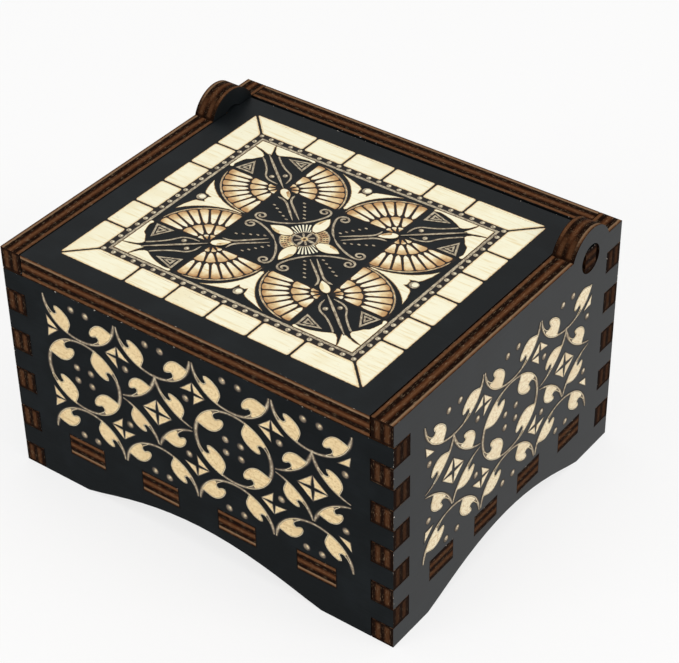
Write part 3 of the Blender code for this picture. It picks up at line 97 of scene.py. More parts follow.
# Places in a roundel, in its radii from its middle: half the bar beside its fans, where the
# short blades end, and the points of the drawn shapes.
BAR = 0.03
SHORT_BLADES_END = 0.525
FOOT_SIDE = ((0.735, 0.712), (0.80, 0.735), (0.87, 0.762), (0.95, 0.79), (1.03, 0.805))
WAVE = (
    (0.055, 0.15), (0.075, 0.31), (0.15, 0.43), (0.30, 0.515), (0.43, 0.615), (0.55, 0.73),
    (0.60, 0.79),
)
TRIANGLE = ((0.43, 0.81), (0.06, 0.95), (0.06, 0.62))
CORNER_BEAD = (0.19, 0.345)
DASHES = ((0.487, 0.15), (0.547, 0.24), (0.607, 0.335), (0.665, 0.43), (0.72, 0.52))
GUIDE = ((0.25, 0.06), (0.262, 0.16), (0.305, 0.245), (0.39, 0.335), (0.685, 0.612))

# Places in the bracket of a horn, in millimetres from the middle of its side of the frame, and
# half the width of the horn's narrow end.
BRACKET = ((3.0, 1.05), (1.5, 1.6), (1.05, 2.0), (0.98, 2.4), (0.72, 3.2), (0.42, 2.9))
HORN_TIP = 0.16 * MM

# Places in a wall's ring, in its radii from its middle, and its dots' place in millimetres.
LEAF_HELD = Vector((-0.73, 0.683))
LEAF_BACK = (
    (-0.885, 0.286), (-0.76, 0.235), (-0.59, 0.194), (-0.41, 0.257), (-0.256, 0.42),
    (-0.187, 0.59), (-0.215, 0.68),
)
LEAF_HOOK = (
    (-0.215, 0.68), (-0.30, 0.675), (-0.40, 0.622), (-0.465, 0.69), (-0.43, 0.79), (-0.27, 0.925),
)
DOT_X, DOT_Z = 1.36, 1.17


def linear(code):
    """A colour written as six hex digits, in the linear values that materials take."""
    shares = [int(code[i:i + 2], 16) / 255 for i in (0, 2, 4)]
    return tuple(s / 12.92 if s <= 0.04045 else ((s + 0.055) / 1.055) ** 2.4 for s in shares)


def length(name, description, millimetres, low=0.0):
    """A length that a user can change, stored in metres."""
    return FloatProperty(
        name=name, description=description, default=millimetres * MM, min=low, precision=5,
        unit="LENGTH", subtype="DISTANCE",
    )


def number(name, description, value, low=0.0, high=1.0):
    """A plain number, such as a size as a share of another, or a lamp's watts."""
    return FloatProperty(name=name, description=description, default=value, min=low, max=high)


def whole(name, description, value, low):
    """A whole number of like shapes."""
    return IntProperty(name=name, description=description, default=value, min=low)


def degrees(name, description, value):
    """An angle that a user can change, stored in radians."""
    return FloatProperty(
        name=name, description=description, default=math.radians(value), subtype="ANGLE",
    )


def tint(name, description, code):
    """A colour that a user can change."""
    return FloatVectorProperty(
        name=name, description=description, subtype="COLOR", size=3, min=0.0, max=1.0,
        default=linear(code),
    )


class PlywoodFinish(bpy.types.PropertyGroup):
    """Paint, etched wood and burnt wood of the case"""

    paint: tint("Paint", "Charcoal paint on the outer faces", "0f1315")
    paint_worn: tint("Worn paint", "Paint where it is thin or dusty", "1d2225")
    edge_light: tint("Light ply", "Plies cut along their grain", "6f492e")
    edge_core: tint("Core ply", "Middle ply on a cut edge", "4c2a16")
    edge_burnt: tint("Burnt ply", "Plies cut across their grain, charred by the laser", "170903")
    edge_speck: tint("Edge specks", "Clean fibres left on a burnt edge", "d8b892")
    chip: tint("Chips", "Bare wood where the paint has chipped off an edge", "e2d8cc")
    cream: tint("Etched cream", "Wood laid bare on the lid", "fffadc")
    cream_streak: tint("Cream streaks", "Grain in the etched wood of the lid", "f0dba6")
    toast: tint("Toasted rim", "Wood browned along an etched edge", "ad7c46")
    fan_gold: tint("Fan gold", "Fans' blades where they begin to brown", "efd5a2")
    fan_brown: tint("Fan brown", "Outer ends of the fans' blades", "b8864f")
    blush: tint("Blush", "Deeper etching round the flower", "b18a60")
    blade_edge: tint("Blade edge", "Burnt edge of a fan's blade", "6b4220")
    leaf: tint("Leaf tan", "Wood laid bare on the walls", "f0d8a6")
    # Painted highlight: the side walls' leaves are the same wood as the front's, painted paler for
    # the light that falls on the side walls.
    leaf_side_lit: tint("Leaf, side walls", "Bare wood of the side walls, a paler sheet", "f3e6c6")
    leaf_streak: tint("Leaf grain", "Grain in the etched leaves", "cba976")
    # On the wall leaves this pale rim is a painted highlight along the etched edge.
    leaf_rim: tint("Leaf rim", "Clean edge of the etched leaves", "f8ebcb")
    line: tint("Fine line", "Thin etched lines, half burnt", "857560")
    line_light: tint("Line highlight", "Clean middle of a thin line", "cdbfa2")
    ring: tint("Ring line", "Thin lines on the walls, burnt darker", "574a39")
    scorch: tint("Scorch", "Paint burnt dark beside an etched edge", "0a0604")


class EtchingSizes(bpy.types.PropertyGroup):
    """How every etched shape is built up"""

    lowest: length("Lowest plate", "Height of the first scorched plate over the paint", 0.008)
    step: length("Step", "Height from one plate to the next", 0.004)
    outline: length("Scorched outline", "Dark edge round a shape", 0.13)
    rim: length("Toasted rim", "Brown edge inside a shape", 0.07)


class LidSizes(bpy.types.PropertyGroup):
    """The etched picture on the lid"""

    centre_y: length("Centre", "Middle of the picture, front to back", -1.95, low=-0.02)
    border_x: length("Border, half width", "Middle to the outer edge of the tiles", 26.6)
    border_y: length("Border, half depth", "Middle to the outer edge of the tiles", 22.75)
    border: length("Border width", "Width of the ring of tiles", 3.95)
    tile_x: length("Tile, long sides", "Spacing of the tiles along the front and back", 7.3)
    tile_y: length("Tile, short sides", "Spacing of the tiles along the left and right", 6.37)
    tile_gap: length("Tile gap", "Dark line between two tiles", 0.34)
    tile_edge: length("Tile edge", "Width of a tile's shaded edge", 0.26)
    tile_corner: length("Tile corner", "Radius of a tile's corners", 0.4)
    bead: length("Bead", "Diameter of the beads inside the tiles", 0.78)
    bead_inset: length("Bead inset", "Tiles' inner edge to the middle of the beads", 0.55)
    bead_spacing: length("Bead spacing", "Spacing that the beads come near to", 1.83)
    line_inset: length("Line inset", "Tiles' inner edge to the frame line", 1.22)
    line: length("Line width", "Width of the drawn lines", 0.33)
    frame_line: length("Frame line", "Width of the line round the picture", 0.45)
    roundel_x: length("Roundel across", "Middle of the picture to a roundel's middle", 10.45)
    roundel_y: length("Roundel along", "Middle of the picture to a roundel's middle", 8.6)
    radius_x: length("Roundel radius, across", "Half width of a roundel", 10.0)
    radius_y: length("Roundel radius, along", "Half depth of a roundel", 8.45)
    blades: whole("Fan blades", "Long blades in one fan", 8, low=3)
    short_blades: whole("Short blades", "Inner blades in one fan", 4, low=2)
    petal: length("Petal reach", "Middle of the flower to a petal's tip", 6.2)
    petal_width: length("Petal width", "Widest part of a petal", 2.0)
    comb_reach: length("Comb reach", "Middle of the flower to the tips of the combs", 3.6)
    rosette: length("Rosette", "Radius of the flower's dark middle", 1.75)
    comb_teeth: whole("Comb teeth", "Teeth in each comb", 8, low=3)


class WallSizes(bpy.types.PropertyGroup):
    """The etched pattern on the walls"""

    pitch_x: length("Pitch, front", "Spacing of the rings along the front and back", 13.8)
    pitch_y: length("Pitch, sides", "Spacing of the rings along the left and right", 14.35)
    pitch_z: length("Pitch, upward", "Spacing of the rings up the wall", 12.75)
    middle_z: length("Middle row", "Height of the whole rings", 22.6)
    shift_x: length("Shift, front", "How far the pattern stands off the middle", 0.4, low=-0.02)
    shift_y: length("Shift, sides", "How far the pattern stands off the middle", -0.1, low=-0.02)
    half_narrower: length("Half rings, narrower", "How much the cut rings' radius is less", 0.17)
    line: length("Ring line", "Width of a ring where it is thin", 0.36)
    line_swell: length("Ring swell", "How much wider a ring is at its sides", 0.26)
    squeeze: number("Squeeze", "How far the arcs round a diamond bow inward", 0.085)
    leaf: number("Leaf", "Size of the leaves in the whole rings", 0.93)
    small_leaf: number("Small leaf", "Size of the leaves in cut rings and at diamonds", 0.845)
    dot: length("Dot", "Diameter of the dots", 1.1)
    square_x: length("Square, half width", "Half the width of the crossed squares", 2.58)
    square_z: length("Square, half height", "Half the height of the crossed squares", 2.27)
    small_square: number("Small square", "Size of the squares between the rings", 0.84)
    cross: length("Cross", "Width of the dark cross in a square's middle", 0.64)


class MovementFinish(bpy.types.PropertyGroup):
    """Metals and plastic of the clockwork"""

    brass: tint("Brass", "Wheels, barrel, cylinder and key", "d9b25c")
    brass_dull: tint("Dull brass", "Brass where it has tarnished", "a77f3a")
    steel: tint("Steel", "Comb, bridge, frame and screws", "b4b6b8")
    steel_dull: tint("Dull steel", "Steel where it has dulled", "85888b")
    spring_steel: tint("Spring steel", "Springs and lever, darker from their heat", "6c7076")
    zinc: tint("Cast zinc", "Bedplate", "c2b79c")
    zinc_dull: tint("Dull zinc", "Bedplate where it is rough", "978b72")
    plastic: tint("Plastic", "Fly", "e9e6dc")


class StudioSizes(bpy.types.PropertyGroup):
    """Camera, floor and lamps"""

    azimuth: degrees("Azimuth", "Camera's way round, from the front towards the right", 37.1)
    elevation: degrees("Elevation", "Camera's height over the horizon", 37.43)
    roll: degrees("Roll", "Camera's turn about its own axis", -0.96)
    distance: length("Distance", "Camera to the point that it looks at", 313.5)
    aim_x: length("Aim, across", "Point that the camera looks at", 4.52, low=-0.1)
    aim_z: length("Aim, upward", "Height of the point that the camera looks at", 24.22)
    lens: number("Lens", "Focal length in millimetres", 112.9, low=10.0, high=500.0)
    floor: tint("Floor", "Pale floor", "fbfaf9")
    backdrop: number("Backdrop", "How much of the floor's white the camera sees unlit", 0.75)
    sky: number("Sky light", "Light from all round", 0.6, high=2.0)
    key: number("Key light", "Softbox at the right, in watts", 1.9, high=20.0)
    fill: number("Fill light", "Softbox at the left front, in watts", 2.4, high=20.0)
    top: number("Top light", "Softbox overhead, in watts", 1.0, high=20.0)


def maths(operation, swapped=False):
    """An operator that makes one Math node, or Vector Math where a vector takes part."""
    def operator(self, other):
        pair = (other, self) if swapped else (self, other)
        vector = any(isinstance(s, Signal) and s.socket.type == "VECTOR" for s in pair)
        kind = "ShaderNodeVectorMath" if vector else "ShaderNodeMath"
        return self.recipe.node(kind, {"operation": operation}, dict(enumerate(pair)))

    return operator


def maths_alone(operation):
    """A method that makes one Math node with a single input."""
    return lambda self: self.recipe.node("ShaderNodeMath", {"operation": operation}, {0: self})


class Signal:
    """A node's output, with Python's operators for shader maths."""

    def __init__(self, recipe, socket):
        self.recipe = recipe
        self.socket = socket

    __add__, __radd__ = maths("ADD"), maths("ADD", swapped=True)
    __sub__, __rsub__ = maths("SUBTRACT"), maths("SUBTRACT", swapped=True)
    __mul__, __rmul__ = maths("MULTIPLY"), maths("MULTIPLY", swapped=True)
    __truediv__, __rtruediv__ = maths("DIVIDE"), maths("DIVIDE", swapped=True)
    __pow__ = maths("POWER")
    __gt__, __lt__ = maths("GREATER_THAN"), maths("LESS_THAN")
    least, most = maths("MINIMUM"), maths("MAXIMUM")
    __abs__, fraction = maths_alone("ABSOLUTE"), maths_alone("FRACT")


class Recipe:
    """One material or world, and the nodes in it."""

    def __init__(self, name, library="materials"):
        self.made = getattr(bpy.data, library).new(name)
        self.made.use_nodes = True
        self.tree = self.made.node_tree
        self.tree.nodes.clear()

    def feed(self, socket, value):
        """Links a signal to a socket, or sets its value."""
        if isinstance(value, Signal):
            self.tree.links.new(value.socket, socket)
        elif socket.type == "VECTOR" and isinstance(value, (int, float)):
            socket.default_value = (value, value, value)
        elif socket.type == "RGBA":
            socket.default_value = (*value[:3], 1.0)
        else:
            socket.default_value = value

    def node(self, kind, settings=None, inputs=None, output=0):
        """Any node: its settings first, then a value or a signal for each socket."""
        made = self.tree.nodes.new(kind)
        for name, value in (settings or {}).items():
            if name == "stops":
                self.set_stops(made.color_ramp.elements, value)
            else:
                setattr(made, name, value)
        for name, value in (inputs or {}).items():
            self.feed(made.inputs[name], value)
        return None if output is None else Signal(self, made.outputs[output])

    @staticmethod
    def set_stops(elements, stops):
        """Fills a colour ramp from pairs of place and colour."""
        while len(elements) < len(stops):
            elements.new(1.0)
        for element, (place, colour) in zip(elements, stops):
            element.position = place
            element.color = (*colour[:3], 1.0)

    def place(self):
        """The point on the piece, in millimetres."""
        return self.node("ShaderNodeTexCoord", output="Object") * (1 / MM)

    def parts(self, vector):
        """The three numbers of a vector."""
        split = self.node("ShaderNodeSeparateXYZ", inputs={0: vector}).socket.node
        return [Signal(self, socket) for socket in split.outputs]

    def noise(self, vector, scale=1.0, detail=2.0, roughness=0.5):
        """Cloudy noise from 0 to 1."""
        inputs = {"Vector": vector, "Scale": scale, "Detail": detail, "Roughness": roughness}
        return self.node("ShaderNodeTexNoise", inputs=inputs)

    def streaks(self, place, along, fine, coarse, detail=2.0, roughness=0.5):
        """Noise that runs in streaks along one axis."""
        scale = [fine, fine, fine]
        scale[along] = coarse
        return self.noise(place * tuple(scale), 1.0, detail, roughness)

    def between(self, value, low, high):
        """0 at low, 1 at high and a smooth change from one to the other."""
        settings = {"interpolation_type": "SMOOTHSTEP"}
        inputs = {"Value": value, "From Min": low, "From Max": high}
        return self.node("ShaderNodeMapRange", settings, inputs)

    def mix(self, factor, first, second):
        """A blend of two colours."""
        inputs = {0: factor, 6: first, 7: second}
        return self.node("ShaderNodeMix", {"data_type": "RGBA"}, inputs, 2)

    def ramp(self, value, stops):
        """A colour for each value from 0 to 1."""
        return self.node("ShaderNodeValToRGB", {"stops": stops}, {0: value})

    def bump(self, height, depth):
        """A relief of that depth in millimetres, from a height of 0 to 1."""
        return self.node("ShaderNodeBump", inputs={"Distance": depth * MM, "Height": height})

    def seen_by(self, *kinds):
        """1 for rays of these kinds and 0 for all others."""
        path = self.node("ShaderNodeLightPath").socket.node
        rays = [Signal(self, path.outputs[f"Is {kind} Ray"]) for kind in kinds]
        seen = rays[0]
        for ray in rays[1:]:
            seen = seen.most(ray)
        return seen

    def surface(self, unlit=0.0, **sockets):
        """The finished material, from the shader's sockets with underscores for spaces.

        The camera and reflections see the share unlit of it as plain white.
        """
        named = {name.replace("_", " "): value for name, value in sockets.items()}
        shader = self.node("ShaderNodeBsdfPrincipled", inputs=named)
        if unlit:
            seen = self.seen_by("Camera", "Glossy", "Transmission") * unlit
            white = self.node("ShaderNodeEmission", inputs={"Color": WHITE, "Strength": 1.0})
            shader = self.node("ShaderNodeMixShader", inputs={0: seen, 1: shader, 2: white})
        self.node("ShaderNodeOutputMaterial", inputs={"Surface": shader}, output=None)
        return self.made

    def wood(self, colour, relief, roughness=0.72, depth=0.02):
        """Bare, matt wood with a fine relief."""
        bump = self.bump(relief, depth)
        return self.surface(Base_Color=colour, Roughness=roughness, Normal=bump)


def dress(node, material):
    """Gives a CAD node its material."""
    thing = frame["nodes"][node]
    if not thing.material_slots:
        thing.data.materials.append(material)
    for slot in thing.material_slots:
        slot.material = material


def inward(spots, box, axis):
    """How far a point lies from the nearer end of its board, in millimetres."""
    low, high = box
    return (spots[axis] - low[axis] / MM).least(high[axis] / MM - spots[axis])


def kerf_soot(recipe, spots, box, along, joints):
    """Soot on a wall's face beside its finger joints and floor tabs, and then on its seams."""
    has_lowest, tab_pitch, tab_width = joints
    reach, full = 0.34, 0.08
    thickness = PLY / MM
    finger = LID_HIGH.z / MM / FINGERS
    seam = abs((spots[2] / finger + 0.5).fraction() - 0.5) * finger
    lower_half = (spots[2] / (2 * finger)).fraction() < 0.5
    slot = 1 - lower_half if has_lowest else lower_half
    corner = recipe.between(inward(spots, box, along), thickness + reach, thickness + full)
    joint = corner * slot.most(recipe.between(seam, reach, full))
    off_tab = abs((spots[along] / tab_pitch).fraction() - 0.5) * tab_pitch - tab_width / 2
    floor_low, floor_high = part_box("floor_panel")
    middle = (floor_low.z + floor_high.z) / 2 / MM
    off_floor = abs(spots[2] - middle) - (floor_high.z - floor_low.z) / 2 / MM
    tab = recipe.between(off_tab.most(off_floor), reach, full)
    tab = tab * (abs(spots[along]) < 2 * tab_pitch)
    return joint.most(tab), recipe.between(seam, 0.55, 0.2)


SIDE_PLIES = (
    (0.0, "burnt"), (0.05, "light"), (0.13, "light"), (0.19, "burnt"), (0.34, "burnt"),
    (0.41, "core"), (0.52, "light"), (0.6, "core"), (0.67, "burnt"), (0.82, "burnt"),
    (0.87, "pale"), (0.95, "light"), (1.0, "burnt"),
)
END_PLIES = (
    (0.0, "burnt"), (0.13, "burnt"), (0.19, "core"), (0.25, "light"), (0.35, "light"),
    (0.43, "burnt"), (0.55, "burnt"), (0.61, "core"), (0.66, "light"), (0.77, "light"),
    (0.83, "core"), (0.88, "burnt"), (1.0, "burnt"),
)


def charring_and_hole_shade(recipe, name, across, spots, cut_across):
    """How far a board's cut edges are charred, from 0 to 1, with painted shade in the hinge holes.
    """
    char_and_shade = cut_across * (0.58 if across == 1 else 0.36) + 0.2
    if name == "lid":
        # Painted shade: the lid's tab ends sit deep in the hinge holes and are darkened there, on
        # top of their charring.
        shaded_tab_ends = abs(spots[0]) > CASE_HIGH.x / MM - 2.5
        char_and_shade = char_and_shade.most(shaded_tab_ends * 0.75)
    if across == 0:
        pin = HINGE / MM
        from_pin = ((spots[1] - pin.y) ** 2 + (spots[2] - pin.z) ** 2) ** 0.5
        # Painted shade: the wall of each hinge hole is darkened as a recess, on top of its
        # charring; the ear's round edge is charred more.
        ear, hole_shade = recipe.between(from_pin, 5.7, 4.9), recipe.between(from_pin, 3.2, 2.6)
        char_and_shade = char_and_shade.most(ear * 0.45).most(hole_shade * 0.85)
    return char_and_shade


def plywood(name, across, gloss, joints=None):
    """A board that is painted on both faces and burnt on its cut edges."""
    finish = bpy.context.scene.box_plywood
    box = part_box(name)
    along, upright = (1, 2) if across == 0 else (0, 3 - across)
    middle = (CASE_LOW[across] + CASE_HIGH[across]) / 2
    inner, outer = sorted((box[0][across], box[1][across]), key=lambda face: abs(face - middle))
    recipe = Recipe(name + "_plywood")
    place = recipe.place()
    spots = recipe.parts(place)
    facing = recipe.parts(recipe.node("ShaderNodeTexCoord", output="Normal"))
    depth = (spots[across] - inner / MM) / ((outer - inner) / MM)
    painted = abs(facing[across]) > 0.7
    cut_across = recipe.between(abs(facing[along]), 0.35, 0.9)
    rim = inward(spots, box, along).least(inward(spots, box, upright))

    def fibres(side, end, detail):
        """Fibres that run along the board on its sides and upright on its ends."""
        on_side = recipe.streaks(place, along, *side, detail)
        on_end = recipe.streaks(place, upright, *end, detail)
        return on_side + (on_end - on_side) * cut_across

    grain = recipe.streaks(place, along, 2.6, 0.16, 4.0, 0.6)
    cloud = recipe.noise(place, 0.16, 3.0)
    dust = recipe.noise(place, 7.0)
    fine = fibres((9.0, 1.3), (8.0, 1.5), 3.0)
    worn = recipe.between(cloud * 0.8 + grain * 0.2, 0.42, 0.72) * 0.5
    paint = recipe.mix(worn, finish.paint, finish.paint_worn)

    tones = {"light": finish.edge_light, "core": finish.edge_core, "burnt": finish.edge_burnt}
    both = zip(finish.edge_light, finish.edge_speck)
    tones["pale"] = tuple(light * 0.65 + speck * 0.35 for light, speck in both)
    wander = depth + (fine - 0.5) * 0.05
    side, end = (
        recipe.ramp(wander, [(at, tones[tone]) for at, tone in plies])
        for plies in (SIDE_PLIES, END_PLIES)
    )
    edge = recipe.mix(cut_across, side, end)
    threads = recipe.between(fibres((14.0, 0.9), (11.0, 1.6), 2.0), 0.58, 0.8)
    edge = recipe.mix(threads * 0.65, edge, finish.edge_speck)
    pits = recipe.between(fine, 0.48, 0.3) * (0.15 + cut_across * 0.3)
    edge = recipe.mix(pits, edge, finish.edge_burnt)
    # Charring of the cut edges, with painted shade in the hinge holes.
    edge = recipe.mix(charring_and_hole_shade(recipe, name, across, spots, cut_across), edge, finish.edge_burnt)
    if joints:
        soot, seam = kerf_soot(recipe, spots, box, along, joints)
        paint = recipe.mix(soot * 0.9, paint, finish.scorch)
        edge = recipe.mix(seam * cut_across * 0.85, edge, finish.edge_burnt)
    chip_noise = recipe.noise(place, 1.9, 3.0, 0.7)
    chips = (rim < recipe.between(chip_noise, 0.6, 0.8) * 0.34) * painted
    paint = recipe.mix(chips, paint, finish.chip)

    relief = recipe.mix(painted, fine, grain * 0.7 + dust * 0.3)
    return recipe.surface(
        Base_Color=recipe.mix(painted, edge, paint),
        Roughness=painted * (0.44 + cloud * 0.14 - 0.78) + 0.78,
        Specular_IOR_Level=0.03, Coat_Weight=painted * gloss, Coat_Roughness=0.4,
        Normal=recipe.bump(relief, 0.03),
    )


def etched_wood(name, pale, streak, along, mottled=0.0):
    """Wood laid bare by the laser, with faint grain along one axis."""
    recipe = Recipe(name)
    place = recipe.place()
    grain = recipe.streaks(place, along, 2.2, 0.18, 4.0, 0.6)
    patches = recipe.noise(place, 0.16)
    speck = recipe.streaks(place, along, 6.0, 1.4)
    smudge = recipe.streaks(place, along, 1.5, 0.3, 4.0, 0.65)
    streaked = recipe.between(grain, 0.48, 0.72) * 0.7
    streaked = streaked.most(recipe.between(patches, 0.5, 0.75) * 0.45)
    if mottled:
        cells = recipe.streaks(place, along, 4.2, 2.2, 2.0, 0.7)
        streaked = streaked.most(recipe.between(cells, 0.45, 0.68) * mottled)
    colour = recipe.mix(streaked, pale, streak)
    deep = tuple(c * 0.55 for c in streak)
    for marks, low, high in ((smudge, 0.62, 0.78), (speck, 0.68, 0.8)):
        colour = recipe.mix(recipe.between(marks, low, high) * 0.5, colour, deep)
    return recipe.wood(colour, grain)


def speckled(name, base, other, scale):
    """Half-burnt wood, blotched from one colour to another."""
    recipe = Recipe(name)
    blotch = recipe.noise(recipe.place(), scale, 3.0, 0.6)
    colour = recipe.mix(recipe.between(blotch, 0.38, 0.66), base, other)
    return recipe.wood(colour, blotch, 0.75, 0.01)


def fan_wood(name, pale, gold, brown):
    """Etched wood of the fans, browned towards the rim of each ring of blades."""
    lid = bpy.context.scene.box_lid
    recipe = Recipe(name)
    place = recipe.place()
    spots = recipe.parts(place)
    across = (abs(spots[0]) - lid.roundel_x / MM) / (lid.radius_x / MM)
    along = (abs(spots[1] - lid.centre_y / MM) - lid.roundel_y / MM) / (lid.radius_y / MM)
    radius = (across * across + along * along) ** 0.5
    wavy = radius + (recipe.noise(place, 0.5, 3.0, 0.6) - 0.5) * 0.42
    outer = recipe.between(wavy, 0.66, 0.98) * (radius > SHORT_BLADES_END)
    inner = recipe.between(wavy, 0.28, 0.54) * (radius < SHORT_BLADES_END)
    toasted = (outer + inner * 0.85).most(recipe.between(wavy, 0.28, 0.12))
    grain = recipe.streaks(place, 0, 3.0, 0.5, 3.0)
    golden = recipe.between(grain, 0.5, 0.7).most(recipe.between(toasted, 0.0, 0.6))
    colour = recipe.mix(golden, pale, gold)
    colour = recipe.mix(recipe.between(toasted + grain * 0.3, 0.6, 1.3), colour, brown)
    return recipe.wood(colour, grain)


BLOTCHES = {
    "leaf_rim": ("leaf_rim", "leaf", 1.4),
    "cream_shade": ("cream_streak", "toast", 0.6),
    "toast": ("toast", "cream_streak", 1.5),
    "blush": ("blush", "cream_streak", 0.9),
    "line": ("line", "line_light", 1.1),
    "line_light": ("line_light", "line", 1.6),
    "ring": ("ring", "line", 1.1),
    "ring_core": ("line", "line_light", 2.4),
    "scorch": ("scorch", "edge_burnt", 1.2),
    "fan_edge": ("fan_brown", "blade_edge", 0.8),
}


def etching_finish(name, along):
    """A finish of the etched shapes on a board whose grain runs along one axis, made once."""
    label = f"{name}_{along}"
    if label in bpy.data.materials:
        return bpy.data.materials[label]
    finish = bpy.context.scene.box_plywood
    if name == "cream":
        return etched_wood(label, finish.cream, finish.cream_streak, along)
    if name == "leaf":
        # The side walls take the paler leaf colour, a painted highlight rather than a paler wood.
        clean = finish.leaf if along == 0 else finish.leaf_side_lit
        return etched_wood(label, clean, finish.leaf_streak, along, mottled=0.85)
    if name == "fan":
        return fan_wood(label, finish.cream, finish.fan_gold, finish.fan_brown)
    base, other, scale = BLOTCHES[name]
    return speckled(label, getattr(finish, base), getattr(finish, other), scale)


def arc(radii, start, end, steps, middle=(0.0, 0.0)):
    """Points on an ellipse from one angle to another, in degrees."""
    points = []
    for i in range(steps + 1):
        angle = math.radians(start + (end - start) * i / steps)
        across, up = radii[0] * math.cos(angle), radii[1] * math.sin(angle)
        points.append(Vector((middle[0] + across, middle[1] + up)))
    return points


def curve(points, steps=4):
    """A smooth open line through a few points."""
    points = [Vector(p) for p in points]
    ends = [points[0] * 2 - points[1], *points, points[-1] * 2 - points[-2]]
    line = []
    for before, start, end, after in zip(ends, ends[1:], ends[2:], ends[3:]):
        for i in range(steps):
            t = i / steps
            line.append(
                start + (end - before) * (t / 2)
                + (before * 2 - start * 5 + end * 4 - after) * (t * t / 2)
                + (start * 3 - before - end * 3 + after) * (t * t * t / 2)
            )
    return line + [points[-1]]


def rounded(corners, radius, steps=3):
    """A closed outline whose corners are rounded."""
    outline = []
    corners = [Vector(c) for c in corners]
    for i, corner in enumerate(corners):
        before, after = corners[i - 1], corners[(i + 1) % len(corners)]
        entry = corner + (before - corner).normalized() * radius
        leave = corner + (after - corner).normalized() * radius
        for k in range(steps + 1):
            t = k / steps
            outline.append(entry * (1 - t) ** 2 + corner * (2 * t * (1 - t)) + leave * t * t)
    return outline


def turned_left(direction):
    """A flat direction turned by a quarter turn."""
    return Vector((-direction.y, direction.x))


def ribbon(line, widths):
    """The outline of a line with a width at each of its points."""
    if isinstance(widths, (int, float)):
        widths = [widths] * len(line)
    left, right = [], []
    for i, point in enumerate(line):
        ahead = line[min(i + 1, len(line) - 1)] - line[max(i - 1, 0)]
        side = turned_left(ahead.normalized()) * (widths[i] / 2)
        left.append(point + side)
        right.append(point - side)
    return right + left[::-1]


def tapered(count, width, tip=0.25, run=2):
    """Widths for a line that narrows over its first and last points."""
    rises = [min(i, count - 1 - i) / run for i in range(count)]
    return [width * min(1.0, tip + (1 - tip) * rise) for rise in rises]


def area(outline):
    """Twice the signed area of a closed outline."""
    return sum(a.x * b.y - b.x * a.y for a, b in zip(outline, outline[1:] + outline[:1]))


def offset(outline, distance):
    """A closed outline moved outward, or inward where the distance is negative."""
    if area(outline) < 0:
        outline = outline[::-1]
    moved = []
    for i, point in enumerate(outline):
        before = (point - outline[i - 1]).normalized()
        after = (outline[(i + 1) % len(outline)] - point).normalized()
        outward = -turned_left(before + after)
        if outward.length < 0.2:
            outward = -turned_left(before) + before
        outward.normalize()
        mitre = max(outward.dot(-turned_left(before)), 0.45)
        moved.append(point + outward * (distance / mitre))
    return moved


